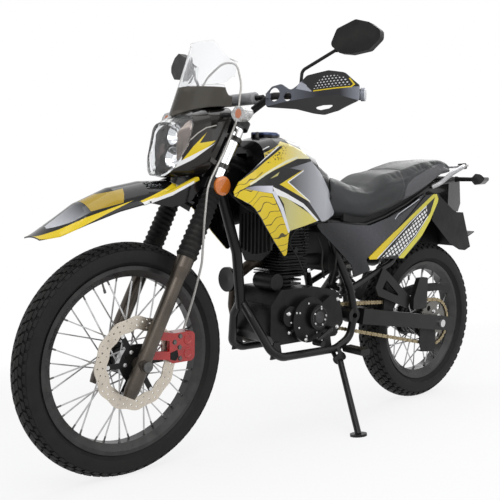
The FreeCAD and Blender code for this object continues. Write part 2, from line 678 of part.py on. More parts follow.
def hull(stations, square, grow=0.0, waist=0.5):
    """A loft along the bike from stations of x, low, high and half width."""
    return Part.makeLoft([oval_section(x, low - grow, high + grow, half + grow, square, waist)
                          for x, low, high, half in stations], True, True)


def skin(stations, thickness):
    """A curved panel on the left: each station has an x and its (y, z) points upward."""
    wires = []
    for x, curve in stations:
        outer = [Vector(x, y, z) for y, z in curve]
        inner = [point - LEFTWARD * thickness for point in outer]
        wires.append(Part.Wire([smooth(outer), Part.LineSegment(outer[-1], inner[-1]).toShape(),
                                smooth(inner[::-1]), Part.LineSegment(inner[0], outer[0]).toShape()]))
    return Part.makeLoft(wires, True, True)


def nose(x_share, y_share, z_share):
    """A point of the nose, in shares of its unit, which moves with the steering head."""
    return Vector(x_share * NOSE_UNIT + WHEELBASE - NOSE_WHEELBASE, y_share * NOSE_UNIT,
                  z_share * NOSE_UNIT)


# Wheels

def tyre(centre, radius, half, bead_radius, crown):
    """A closed tyre ring with a crowned tread, whose flanks bulge past its beads."""
    spread = math.asin(TREAD_SPAN_SHARE * half / crown)
    lean = math.radians(LEAN)

    def crown_point(angle):
        return radius - crown + crown * math.cos(angle), crown * math.sin(angle)

    right = [crown_point(angle) for angle in (lean, (lean + spread) / 2, spread)]
    shoulder = right[-1][0]
    bead = half * BEAD_HALF_SHARE
    right += [(bead_radius + (shoulder - bead_radius) * FLANK_SHARE, half),
              (bead_radius + RIM_FLANGE + RUNNING_GAP, bead), (bead_radius, bead)]
    left = [(reach, -y) for reach, y in right[::-1]]
    return turned(centre, LEFTWARD, [(y, reach) for reach, y in left + right])


def front_tyre():
    return tyre(FRONT_AXLE, FRONT_TYRE_RADIUS, FRONT_TYRE_HALF, FRONT_BEAD_RADIUS, FRONT_CROWN)


def rear_tyre():
    return tyre(REAR_AXLE, REAR_TYRE_RADIUS, REAR_TYRE_HALF, REAR_BEAD_RADIUS, REAR_CROWN)


def rim(centre, bead_radius, half):
    """A rim whose flanges hold the tyre's beads."""
    seat = bead_radius - RUNNING_GAP
    edge = half * BEAD_HALF_SHARE
    well = edge * RIM_WELL_SHARE
    bottom = bead_radius - RIM_DEPTH
    profile = [(-edge - RUNNING_GAP, seat), (-well, seat), (-well, bottom + RIM_WALL), (well, bottom + RIM_WALL),
               (well, seat), (edge + RUNNING_GAP, seat), (edge + RUNNING_GAP, seat + RIM_FLANGE),
               (edge + RIM_WALL, seat + RIM_FLANGE), (edge + RIM_WALL, seat - RIM_WALL), (well, bottom),
               (-well, bottom), (-edge - RIM_WALL, seat - RIM_WALL), (-edge - RIM_WALL, seat + RIM_FLANGE),
               (-edge - RUNNING_GAP, seat + RIM_FLANGE)]
    return turned(centre, LEFTWARD, profile)


def spokes(centre, hub_radius, hub_half, rim_radius, rim_half):
    """Crossed wire spokes from the hub's flanges to the rim."""
    wires = []
    for index in range(SPOKES):
        side = 1 if index % 2 else -1
        lean = SPOKE_CROSS if (index // 2) % 2 else -SPOKE_CROSS
        outer = 360 * (index + 0.5) / SPOKES
        inner = outer + lean

        def at(angle, radius, y):
            turn = math.radians(angle)
            return centre + Vector(radius * math.cos(turn), y, radius * math.sin(turn))

        start = at(inner, hub_radius - SPOKE_WIDTH, side * (hub_half - HUB_FLANGE / 2))
        end = at(outer, rim_radius + RIM_WALL / 2, side * rim_half)
        wires.append(bar(start, end, SPOKE_WIDTH, SPOKE_WIDTH, LEFTWARD))
    return wires


def hub(centre, radius, flange_radius, half, bore):
    """A hub barrel with a spoke flange at each end, bored for its axle."""
    profile = [(-half, bore), (half, bore), (half, flange_radius), (half - HUB_FLANGE, flange_radius),
               (half - HUB_FLANGE, radius), (-half + HUB_FLANGE, radius), (-half + HUB_FLANGE, flange_radius),
               (-half, flange_radius)]
    return turned(centre, LEFTWARD, profile)


def front_wheel():
    bore = AXLE_RADIUS + RUNNING_GAP
    carrier = turned(FRONT_AXLE, LEFTWARD, [(FRONT_HUB_HALF - HUB_FLANGE, bore), (DISC_PLANE, bore),
                                            (DISC_PLANE, CARRIER_RADIUS), (FRONT_HUB_HALF - HUB_FLANGE, CARRIER_RADIUS)])
    ring = rim(FRONT_AXLE, FRONT_BEAD_RADIUS, FRONT_TYRE_HALF)
    barrel = hub(FRONT_AXLE, FRONT_HUB_RADIUS, FRONT_FLANGE_RADIUS, FRONT_HUB_HALF, bore)
    wires = spokes(FRONT_AXLE, FRONT_FLANGE_RADIUS, FRONT_HUB_HALF, FRONT_BEAD_RADIUS - RIM_DEPTH,
                   FRONT_TYRE_HALF * SPOKE_RIM_SHARE)
    return fused([ring, barrel, carrier] + wires)


def rear_wheel():
    ring = rim(REAR_AXLE, REAR_BEAD_RADIUS, REAR_TYRE_HALF)
    barrel = hub(REAR_AXLE, REAR_HUB_RADIUS, REAR_FLANGE_RADIUS, REAR_HUB_HALF, AXLE_RADIUS + RUNNING_GAP)
    carrier = turned(REAR_AXLE, LEFTWARD, [(REAR_HUB_HALF - HUB_FLANGE, AXLE_RADIUS + RUNNING_GAP),
                                           (CHAIN_PLANE - SPROCKET_THICKNESS / 2, AXLE_RADIUS + RUNNING_GAP),
                                           (CHAIN_PLANE - SPROCKET_THICKNESS / 2, CARRIER_RADIUS),
                                           (REAR_HUB_HALF - HUB_FLANGE, CARRIER_RADIUS)])
    wires = spokes(REAR_AXLE, REAR_FLANGE_RADIUS, REAR_HUB_HALF, REAR_BEAD_RADIUS - RIM_DEPTH,
                   REAR_TYRE_HALF * SPOKE_RIM_SHARE)
    return fused([ring, barrel, carrier] + wires)


def wavy_wire(centre, radius, wave, lobes, phase=0.0):
    """A closed wave of arcs about a wheel's axle."""
    edges = []

    def at(turns, reach):
        angle = 2 * math.pi * (turns + phase) / lobes
        return centre + Vector(reach * math.cos(angle), 0, reach * math.sin(angle))

    for lobe in range(lobes):
        edges.append(Part.Arc(at(lobe, radius - wave), at(lobe + 0.5, radius), at(lobe + 1, radius - wave)).toShape())
    return Part.Wire(edges)


def front_disc():
    """A wavy brake disc with arms to its hub carrier."""
    centre = FRONT_AXLE + LEFTWARD * (DISC_PLANE + RUNNING_GAP)
    outer = wavy_wire(centre, DISC_RADIUS, DISC_WAVE, DISC_LOBES)
    inner = wavy_wire(centre, DISC_INNER + DISC_WAVE, DISC_WAVE, DISC_LOBES)
    depth = LEFTWARD * DISC_THICKNESS
    band = Part.Face(outer).extrude(depth).cut(Part.Face(inner).extrude(depth))
    return fused([band, disc_carrier()])


def disc_carrier():
    """The spider that holds the disc on the front hub."""
    centre = FRONT_AXLE + LEFTWARD * (DISC_PLANE + RUNNING_GAP)
    core = turned(centre, LEFTWARD, [(0, AXLE_RADIUS + RUNNING_GAP), (DISC_THICKNESS, AXLE_RADIUS + RUNNING_GAP),
                                     (DISC_THICKNESS, CARRIER_RADIUS), (0, CARRIER_RADIUS)])
    arms = []
    for arm in range(DISC_ARMS):
        angle = 2 * math.pi * arm / DISC_ARMS
        out = Vector(math.cos(angle), 0, math.sin(angle))
        middle = LEFTWARD * (DISC_THICKNESS / 2)
        arms.append(bar(centre + out * (CARRIER_RADIUS * CARRIER_REACH_SHARE) + middle, centre + out * (DISC_INNER + DISC_WAVE) + middle,
                        DISC_ARM_WIDTH, DISC_THICKNESS, LEFTWARD))
    return fused([core] + arms)


def rear_sprocket():
    """A toothed sprocket on the rear hub."""
    root = REAR_SPROCKET_RADIUS - TOOTH_HEIGHT
    points = []
    centre = REAR_AXLE + LEFTWARD * (CHAIN_PLANE - SPROCKET_THICKNESS / 2 + RUNNING_GAP)
    for tooth in range(SPROCKET_TEETH):
        for turn, reach in zip(TOOTH_SHARES, (root, root, REAR_SPROCKET_RADIUS, REAR_SPROCKET_RADIUS)):
            angle = 2 * math.pi * (tooth + turn) / SPROCKET_TEETH
            points.append(centre + Vector(reach * math.cos(angle), 0, reach * math.sin(angle)))
    hole = Part.Wire([Part.Circle(centre, LEFTWARD, AXLE_RADIUS + RUNNING_GAP).toShape()])
    face = Part.Face([Part.makePolygon(points + [points[0]]), hole])
    return face.extrude(LEFTWARD * (SPROCKET_THICKNESS - RUNNING_GAP))


# Fork and steering head

def fork_lowers():
    """The two outer legs: bored for the fork tubes and for the axle."""
    bore = FORK_TUBE_RADIUS + RUNNING_GAP
    floor = FORK_TUBE_BOTTOM - RUNNING_GAP
    profile = [(LEG_BOTTOM, 0), (LEG_BOTTOM, LEG_RADIUS * LEG_FOOT_SHARE), (LEG_BOTTOM + LEG_RADIUS, LEG_RADIUS),
               (LEG_TOP - LEG_COLLAR_HEIGHT * 2, LEG_RADIUS), (LEG_TOP - LEG_COLLAR_HEIGHT, LEG_COLLAR),
               (LEG_TOP, LEG_COLLAR), (LEG_TOP, bore), (floor, bore), (floor, 0)]
    sleeve = turned(leg(0, LEG_SPACING), FORK_UP, profile)
    eye = crosswise(leg(0, LEG_SPACING), AXLE_BOSS_RADIUS, AXLE_BOSS_HALF)
    left = fused([sleeve, eye]).cut(crosswise(FRONT_AXLE, AXLE_RADIUS + RUNNING_GAP, LEG_SPACING * 2))
    return both_sides(left)


def fork_tubes():
    return both_sides(rod(leg(FORK_TUBE_BOTTOM, LEG_SPACING), leg(FORK_TUBE_TOP, LEG_SPACING), FORK_TUBE_RADIUS))


def fork_gaiters():
    """Pleated rubber boots between the legs' collars and the lower clamp."""
    bore = FORK_TUBE_RADIUS + RUNNING_GAP
    low = LEG_TOP + RUNNING_GAP
    pitch = (GAITER_TOP - low) / GAITER_PLEATS
    profile = [(low, bore)]
    for pleat in range(GAITER_PLEATS):
        radius = GAITER_LOW_RADIUS + (GAITER_HIGH_RADIUS - GAITER_LOW_RADIUS) * pleat / GAITER_PLEATS
        profile.append((low + pitch * pleat, radius - GAITER_PLEAT))
        profile.append((low + pitch * (pleat + 0.5), radius))
    profile += [(GAITER_TOP, GAITER_HIGH_RADIUS - GAITER_PLEAT), (GAITER_TOP, bore)]
    return both_sides(turned(leg(0, LEG_SPACING), FORK_UP, profile))


def clamp(height, depth):
    """A yoke across both fork legs, drilled for them."""
    radius = FORK_TUBE_RADIUS + CLAMP_WALL
    side = leg(height, LEG_SPACING)
    boss = rod(side, side + FORK_UP * depth, radius)
    centre = stem(height)
    middle = rod(centre, centre + FORK_UP * depth, radius)
    reach = radius * CLAMP_BRIDGE_SHARE
    corners = [leg(height, LEG_SPACING, reach), leg(height, -LEG_SPACING, reach), leg(height, -LEG_SPACING, -reach),
               stem(height) - FORK_FORWARD * reach - LEFTWARD * reach,
               stem(height) - FORK_FORWARD * reach + LEFTWARD * reach, leg(height, LEG_SPACING, -reach)]
    bridge = outline(corners).extrude(FORK_UP * depth)
    yoke = fused([bridge, boss, mirrored(boss), middle])
    drill = rod(side - FORK_UP * OVERRUN, side + FORK_UP * (depth + OVERRUN), FORK_TUBE_RADIUS + RUNNING_GAP)
    return yoke.cut(drill).cut(mirrored(drill))


def triple_clamps():
    """The two yokes and the steering stem that turns in the frame's head tube."""
    post = rod(stem(LOWER_CLAMP), stem(UPPER_CLAMP + UPPER_CLAMP_DEPTH + STEM_NUT), STEM_RADIUS)
    nut = rod(stem(UPPER_CLAMP + UPPER_CLAMP_DEPTH), stem(UPPER_CLAMP + UPPER_CLAMP_DEPTH + STEM_NUT),
              STEM_RADIUS + STEM_NUT_WALL)
    risers = []
    for side in (-1, 1):
        seat = nose(*BAR_SHARES[0]) + LEFTWARD * (side * RISER_HALF)
        foot = stem(UPPER_CLAMP + UPPER_CLAMP_DEPTH / 2) + LEFTWARD * (side * RISER_HALF)
        riser = rod(foot, seat, RISER_RADIUS)
        risers.append(riser.fuse(crosswise(seat, RISER_RADIUS + RISER_CAP, RISER_RADIUS * RISER_WIDTH_SHARE)))
    drill = crosswise(nose(*BAR_SHARES[0]), BAR_RADIUS + RUNNING_GAP, RISER_HALF * 2)
    return fused([clamp(LOWER_CLAMP, LOWER_CLAMP_DEPTH), clamp(UPPER_CLAMP, UPPER_CLAMP_DEPTH), post, nut]
                 + risers).cut(drill)


def front_axle():
    """The axle bolt through both legs, with a head and a nut."""
    half = LEG_SPACING + AXLE_BOSS_HALF + RUNNING_GAP
    bolt = crosswise(FRONT_AXLE, AXLE_RADIUS, half)
    ends = [rod(FRONT_AXLE + LEFTWARD * (side * half), FRONT_AXLE + LEFTWARD * (side * (half + AXLE_HEAD_DEPTH)),
                AXLE_HEAD) for side in (-1, 1)]
    collar_in = FRONT_HUB_HALF + RUNNING_GAP
    right_collar = turned(FRONT_AXLE, LEFTWARD, [(-LEG_SPACING + AXLE_BOSS_HALF + RUNNING_GAP, 0),
                                                 (-collar_in, 0), (-collar_in, AXLE_HEAD),
                                                 (-LEG_SPACING + AXLE_BOSS_HALF + RUNNING_GAP, AXLE_HEAD)])
    return fused([bolt, right_collar] + ends)


def bar_station(distance):
    """A point on the left grip run, measured in from the bar's end."""
    start, end = nose(*BAR_SHARES[2]), nose(*BAR_SHARES[3])
    return end + unit(start - end) * distance


def bar_tube(radius):
    left = [nose(*shares) for shares in BAR_SHARES]
    right = [Vector(point.x, -point.y, point.z) for point in left]
    return tube(right[:0:-1] + left[1:], radius, BAR_BEND)


def handlebar():
    """A braced bar: one bent tube and a crossbar."""
    bent = bar_tube(BAR_RADIUS)
    end = nose(*CROSSBAR_SHARES)
    brace = rod(Vector(end.x, -end.y, end.z), end, CROSSBAR_RADIUS)
    return fused([bent, brace])


def bar_pad():
    """The padded sleeve on the crossbar."""
    centre = nose(CROSSBAR_SHARES[0], 0.0, CROSSBAR_SHARES[2])
    bore = CROSSBAR_RADIUS + RUNNING_GAP
    profile = [(-BAR_PAD_HALF, bore), (BAR_PAD_HALF, bore), (BAR_PAD_HALF, BAR_PAD_RADIUS - BAR_PAD_EDGE),
               (BAR_PAD_HALF - BAR_PAD_EDGE, BAR_PAD_RADIUS), (-BAR_PAD_HALF + BAR_PAD_EDGE, BAR_PAD_RADIUS),
               (-BAR_PAD_HALF, BAR_PAD_RADIUS - BAR_PAD_EDGE)]
    return turned(centre, LEFTWARD, profile)


def bar_controls():
    """Grips, switch pods, lever perches and levers on both ends of the bar."""
    inward = unit(bar_station(GRIP_LENGTH) - bar_station(0))
    bore = BAR_RADIUS + RUNNING_GAP
    grip = turned(bar_station(0), inward, [(BAR_END_GAP, bore), (GRIP_LENGTH, bore), (GRIP_LENGTH, GRIP_RADIUS),
                                           (GRIP_LENGTH - GRIP_COLLAR, GRIP_RADIUS + GRIP_COLLAR),
                                           (GRIP_LENGTH - GRIP_COLLAR * 2, GRIP_RADIUS), (BAR_END_GAP, GRIP_RADIUS)])
    ahead = unit(inward.cross(Vector(0, 0, 1)))
    ahead = ahead if ahead.x > 0 else ahead * -1
    pod_start = bar_station(GRIP_LENGTH + RUNNING_GAP)
    pod_end = bar_station(GRIP_LENGTH + SWITCH_LENGTH)
    pod = bar(pod_start, pod_end, SWITCH_SIZE, SWITCH_SIZE).cut(rod(pod_start - inward * OVERRUN,
                                                                    pod_end + inward * OVERRUN, bore))
    perch_start = GRIP_LENGTH + SWITCH_LENGTH + RUNNING_GAP
    perch = turned(bar_station(perch_start), inward, [(0, bore), (PERCH_LENGTH, bore), (PERCH_LENGTH, PERCH_RADIUS),
                                                      (0, PERCH_RADIUS)])
    root = bar_station(perch_start + PERCH_LENGTH / 2) + ahead * (PERCH_RADIUS - LEVER_WIDTH / 2)
    knuckle = root + ahead * (LEVER_REACH - PERCH_RADIUS) - inward * LEVER_WIDTH
    tip = knuckle - inward * LEVER_LENGTH
    lever = fused([bar(root, knuckle, LEVER_WIDTH * 2, LEVER_HEIGHT), bar(knuckle, tip, LEVER_WIDTH, LEVER_HEIGHT),
                   rod(knuckle - Vector(0, 0, LEVER_HEIGHT / 2), knuckle + Vector(0, 0, LEVER_HEIGHT / 2), LEVER_WIDTH),
                   rod(tip - Vector(0, 0, LEVER_HEIGHT / 2), tip + Vector(0, 0, LEVER_HEIGHT / 2),
                       LEVER_HEIGHT / 2), perch])
    left = apart([grip, pod, lever]).cut(bar_tube(bore))
    return both_sides(left)


def handguards():
    """Hand shields with a pierced mounting arm, from the bar's bend round to its end."""
    low, high = GUARD_LOW, GUARD_HIGH

    def strip(z):
        outer = [nose(x, y, 0) for x, y in GUARD_PLAN_SHARES]
        outer = [Vector(point.x, point.y, z) for point in outer]
        inner = [point - Vector(GUARD_WALL, 0, 0) for point in outer]
        return Part.Wire([smooth(outer), Part.LineSegment(outer[-1], inner[-1]).toShape(),
                          smooth(inner[::-1]), Part.LineSegment(inner[0], outer[0]).toShape()])

    def across(shares, radius):
        points = [nose(0, y, z) for y, z in shares]
        back = nose(GUARD_BACK_SHARE, 0, 0).x
        front = nose(GUARD_FRONT_SHARE, 0, 0).x
        flat = [Vector(back, point.y, point.z) for point in points]
        return outline(flat, radius).extrude(Vector(front - back, 0, 0))

    shell = Part.makeLoft([strip(low), strip(high)], True, True).common(across(GUARD_FACE_SHARES, GUARD_ROUND))
    for y, z, size in GUARD_HOLE_SHARES:
        centre = nose(GUARD_BACK_SHARE, y, z)
        reach = nose(GUARD_FRONT_SHARE, y, z)
        shell = shell.cut(rod(centre, reach, size * NOSE_UNIT))
    shell = shell.cut(across(GUARD_SLOT_SHARES, GUARD_WALL))
    clip_base = nose(*BAR_SHARES[2])
    clip = bar(clip_base + Vector(BAR_RADIUS + RUNNING_GAP, -GUARD_WALL, 0),
               Vector(nose(GUARD_PLAN_SHARES[0][0], 0, 0).x - GUARD_WALL / 2, nose(0, GUARD_CLIP_SHARE, 0).y, clip_base.z),
               CLIP_WIDTH, CLIP_WIDTH)
    cap = rod(bar_station(-RUNNING_GAP), bar_station(-GUARD_CAP_DEPTH), GRIP_RADIUS * GUARD_CAP_SHARE)
    return both_sides(fused([shell, clip, cap]).cut(bar_tube(BAR_RADIUS + RUNNING_GAP)))


def mirrors():
    """Rear-view mirrors on bent stems from the lever perches."""
    perch = bar_station(GRIP_LENGTH + SWITCH_LENGTH + RUNNING_GAP + PERCH_LENGTH / 2)
    foot = perch + Vector(0, 0, PERCH_RADIUS + MIRROR_FOOT_GAP)
    points = [foot] + [nose(*shares) for shares in MIRROR_STEM_SHARES]
    stalk = tube(points, MIRROR_STEM_RADIUS, MIRROR_BEND)
    centre = nose(*MIRROR_CENTRE_SHARES)
    face = [centre + Vector(0, a * MIRROR_SIZE, b * MIRROR_SIZE) for a, b in MIRROR_SHARES]
    shell = outline(face, MIRROR_ROUND).extrude(Vector(MIRROR_DEPTH, 0, 0))
    shell.translate(Vector(-MIRROR_DEPTH / 2, 0, 0))
    shell.rotate(centre, Vector(0, 0, 1), -MIRROR_TURN)
    ball = Part.makeSphere(MIRROR_STEM_RADIUS * MIRROR_BALL_SHARE, points[-1])
    return both_sides(fused([stalk, shell, ball]))


# Nose

def arch(x, half, edge, crown, wall):
    """A section of the mudguard: an arch of even thickness."""
    outer = [Vector(x, half, edge), Vector(x, 0, crown), Vector(x, -half, edge)]
    drop = Vector(0, 0, wall)
    inner = [outer[2] - drop, outer[1] - drop, outer[0] - drop]
    return Part.Wire([Part.Arc(*outer).toShape(), Part.LineSegment(outer[2], inner[0]).toShape(),
                      Part.Arc(*inner).toShape(), Part.LineSegment(inner[2], outer[0]).toShape()])


def front_fender():
    """A high beak mudguard, hung under the lower clamp, with side wings."""
    sections = []
    for x, half, edge, crown in FENDER_STATION_SHARES:
        low, high = nose(x, half, edge), nose(x, half, crown)
        sections.append(arch(low.x, low.y, low.z, high.z, FENDER_WALL))
    blade = Part.makeLoft(sections, True, True)
    wing_points = [nose(x, 0, z) for x, z in WING_SHARES]
    wing = plate(wing_points, WING_INNER, WING_OUTER, WING_ROUND)
    foot = leg(LOWER_CLAMP - RUNNING_GAP, 0, -STEERING_OFFSET * FENDER_FOOT_SHARE)
    pad = rod(foot, foot - FORK_UP * FENDER_PAD_DEPTH, FENDER_PAD_RADIUS)
    return fused([blade, wing, mirrored(wing), pad])


def mask_body(grow=0.0):
    stations = []
    for x, half, low, high in MASK_STATION_SHARES:
        base, top = nose(x, half, low), nose(x, half, high)
        stations.append((base.x, base.z, top.z, base.y))
    return hull(stations, MASK_SQUARE, grow)


def lens_region(grow=0.0):
    points = [nose(x, 0, z) for x, z in LENS_FRONT_SHARES]
    span = MASK_REACH
    prism = plate(points, -span, span)
    prism.translate(Vector(-grow, 0, 0))
    return prism


def behind_plane(forward):
    """Everything behind the plane that lies this far forward of the fork legs."""
    size = MASK_REACH * MASK_REACH_SHARE
    corner = leg(-size / 2, -size / 2, forward - size)
    box = Part.makeBox(size, size, size * 2, corner)
    box.rotate(corner, LEFTWARD, -RAKE)
    return box


def headlight_cowl():
    """The headlight mask: a shell open behind, carried by rings on the fork tubes."""
    edge = FORK_TUBE_RADIUS + CLAMP_WALL + MASK_FORK_GAP
    shell = mask_body().cut(mask_body(-MASK_WALL)).cut(lens_region(RUNNING_GAP))
    shell = shell.cut(behind_plane(edge))
    instrument = nose(*INSTRUMENT_SHARES)
    shell = shell.cut(block(instrument, INSTRUMENT_LENGTH + RUNNING_GAP * 2, INSTRUMENT_WIDTH + RUNNING_GAP * 2,
                            INSTRUMENT_HEIGHT + RUNNING_GAP * 2)).cut(instrument_arm(RUNNING_GAP))
    stays = []
    for height in STAY_HEIGHTS:
        low = leg(height, LEG_SPACING)
        ring = turned(low, FORK_UP, [(0, FORK_TUBE_RADIUS + RUNNING_GAP), (STAY_DEPTH, FORK_TUBE_RADIUS + RUNNING_GAP),
                                     (STAY_DEPTH, FORK_TUBE_RADIUS + STAY_WALL), (0, FORK_TUBE_RADIUS + STAY_WALL)])
        start = leg(height + STAY_DEPTH / 2, LEG_SPACING - STAY_INSET, FORK_TUBE_RADIUS)
        end = leg(height + STAY_DEPTH / 2, LEG_SPACING - STAY_INSET, edge + STAY_REACH)
        stays.append(fused([ring, bar(start, end, STAY_WALL * 2, STAY_DEPTH, FORK_UP)]).cut(
            rod(low - FORK_UP * OVERRUN, low + FORK_UP * OVERRUN * 2, FORK_TUBE_RADIUS + RUNNING_GAP)))
    return fused([shell] + stays + [mirrored(stay) for stay in stays])


def headlight_lens():
    """The clear front of the headlight, closed behind by its reflector."""
    lens = mask_body().common(lens_region())
    back = mask_body(-LENS_DEPTH)
    back.translate(Vector(-LENS_DEPTH, 0, 0))
    return lens.cut(back)


def screen_core(inset):
    """The space behind the screens' curved face, drawn in from it by an inset."""
    strips = []
    for shares, z in ((SCREEN_LOW_SHARES, SCREEN_LOW), (SCREEN_HIGH_SHARES, SCREEN_HIGH)):
        side = [nose(x, y, 0) for x, y in shares]
        narrow = 1 - inset / side[0].y
        left = [Vector(point.x - inset, point.y * narrow, z) for point in side]
        face = left + [Vector(point.x, -point.y, point.z) for point in left[-2::-1]]
        ends = [face[-1] - Vector(SCREEN_WRAP, 0, 0), face[0] - Vector(SCREEN_WRAP, 0, 0)]
        edges = [smooth(face)]
        edges += [Part.LineSegment(*pair).toShape() for pair in zip([face[-1]] + ends, ends + [face[0]])]
        strips.append(Part.Wire(edges))
    return Part.makeLoft(strips, True, True)


def screen_sheet():
    """The curved sheet that both screens are cut from."""
    hollow = screen_core(SCREEN_WALL)
    hollow.translate(Vector(-CLOSE, 0, 0))
    return screen_core(0).cut(hollow)


def front_prism(shares, radius):
    """An outline in the front view, right through the nose."""
    back, front = nose(SCREEN_BACK_SHARE, 0, 0).x, nose(SCREEN_FRONT_SHARE, 0, 0).x
    flat = [Vector(back, nose(0, y, 0).y, nose(0, 0, z).z) for y, z in shares]
    return outline(flat, radius).extrude(Vector(front - back, 0, 0))


def windscreen():
    """The smoked lower screen and the tall clear one above it."""
    sheet = screen_sheet().cut(mask_body(RUNNING_GAP))
    above = tuple((y, z + RUNNING_GAP / NOSE_UNIT) for y, z in SCREEN_SEAM_SHARES)
    smoked = sheet.common(front_prism(SCREEN_SEAM_SHARES + SMOKED_SHARES, 0))
    clear = sheet.common(front_prism(above + CLEAR_SHARES, SCREEN_ROUND))
    return apart([smoked, clear])


def instrument_arm(grow=0.0):
    """The strap from the upper clamp to the instrument pod."""
    centre = nose(*INSTRUMENT_SHARES)
    foot = leg(UPPER_CLAMP + UPPER_CLAMP_DEPTH + RUNNING_GAP, 0, -STEERING_OFFSET * INSTRUMENT_FOOT_SHARE)
    return bar(foot + FORK_UP * INSTRUMENT_ARM / 2, Vector(centre.x, 0, centre.z),
               INSTRUMENT_WIDTH * INSTRUMENT_ARM_SHARE + grow * 2, INSTRUMENT_ARM + grow * 2)


def instruments():
    """The instrument pod behind the screen, with its bracket to the upper clamp."""
    centre = nose(*INSTRUMENT_SHARES)
    pod = block(centre, INSTRUMENT_LENGTH, INSTRUMENT_WIDTH, INSTRUMENT_HEIGHT)
    pod = pod.makeFillet(INSTRUMENT_ROUND, pod.Edges)
    return fused([pod, instrument_arm()])


def lamp_head(centre, length, height, width):
    """A leaf shaped lamp, pointed outward."""
    points = [centre + Vector(0, y * length, z * height) for y, z in LEAF_SHARES]
    head = outline(points, height * LEAF_ROUND_SHARE).extrude(Vector(width, 0, 0))
    head.translate(Vector(-width / 2, 0, 0))
    return head


def front_indicators():
    """Turn lamps on stalks beside the mask, and side reflectors on the lower clamp."""
    centre = nose(*INDICATOR_SHARES)
    head = lamp_head(centre, INDICATOR_LENGTH, INDICATOR_HEIGHT, INDICATOR_WIDTH)
    stalk = rod(Vector(centre.x, 0, centre.z), centre, INDICATOR_STEM_RADIUS)
    lamp = fused([stalk, head]).cut(mask_body(RUNNING_GAP)).Solids
    lamp = max(lamp, key=lambda solid: solid.CenterOfMass.y)
    side = LEG_SPACING + FORK_TUBE_RADIUS + CLAMP_WALL + RUNNING_GAP
    base = leg(LOWER_CLAMP + LOWER_CLAMP_DEPTH / 2, side)
    reflector = turned(base, LEFTWARD, [(0, 0), (REFLECTOR_DEPTH, 0), (REFLECTOR_DEPTH, REFLECTOR_RADIUS * LENS_EDGE_SHARE),
                                        (REFLECTOR_DEPTH * LENS_EDGE_SHARE, REFLECTOR_RADIUS), (0, REFLECTOR_RADIUS)])
    return apart([lamp, mirrored(lamp), reflector, mirrored(reflector)])


def brake_caliper():
    """A caliper astride the disc, with its bracket on the left fork leg."""
    centre = FRONT_AXLE + Vector(-CALIPER_BACK, DISC_PLANE + DISC_THICKNESS / 2, CALIPER_UP)
    case = block(centre, CALIPER_LENGTH, CALIPER_WIDTH, CALIPER_HEIGHT)
    case = case.makeFillet(CALIPER_ROUND, [edge for edge in case.Edges
                                           if abs(edge.tangentAt(0).y) > AXIS_UPRIGHT_SHARE])
    slot = turned(FRONT_AXLE + LEFTWARD * (centre.y - CALIPER_SLOT), LEFTWARD,
                  [(0, 0), (CALIPER_SLOT * 2, 0), (CALIPER_SLOT * 2, DISC_RADIUS + CALIPER_SLOT),
                   (0, DISC_RADIUS + CALIPER_SLOT)])
    lug_plane = centre.y + CALIPER_WIDTH / 2 - CALIPER_LUG / 2
    lugs = [bar(Vector(centre.x, lug_plane, centre.z + side * CALIPER_HEIGHT * CALIPER_LUG_SHARE),
                leg(height, lug_plane), CALIPER_LUG, CALIPER_LUG * 2)
            for side, height in ((1, CALIPER_HEIGHT), (-1, CALIPER_HEIGHT * CALIPER_LUG_SHARE))]
    bored = rod(leg(LEG_BOTTOM, LEG_SPACING), leg(LEG_TOP, LEG_SPACING), LEG_RADIUS + RUNNING_GAP)
    whole = fused([case.cut(slot)] + lugs).cut(bored)
    return max(whole.Solids, key=lambda solid: solid.Volume)


def brake_hose():
    """The front brake hose, from the caliper up the left leg and over to the right lever."""
    points = [nose(*shares) for shares in HOSE_SHARES]
    return tube_route(points, HOSE_RADIUS)


def tube_route(points, radius):
    """A hose of straight runs and arcs as large as the runs allow."""
    return tube(points, radius, HOSE_LARGEST_BEND)


# Frame and engine

def between(start, end, share):
    """A point part of the way from one to another."""
    return start + (end - start) * share


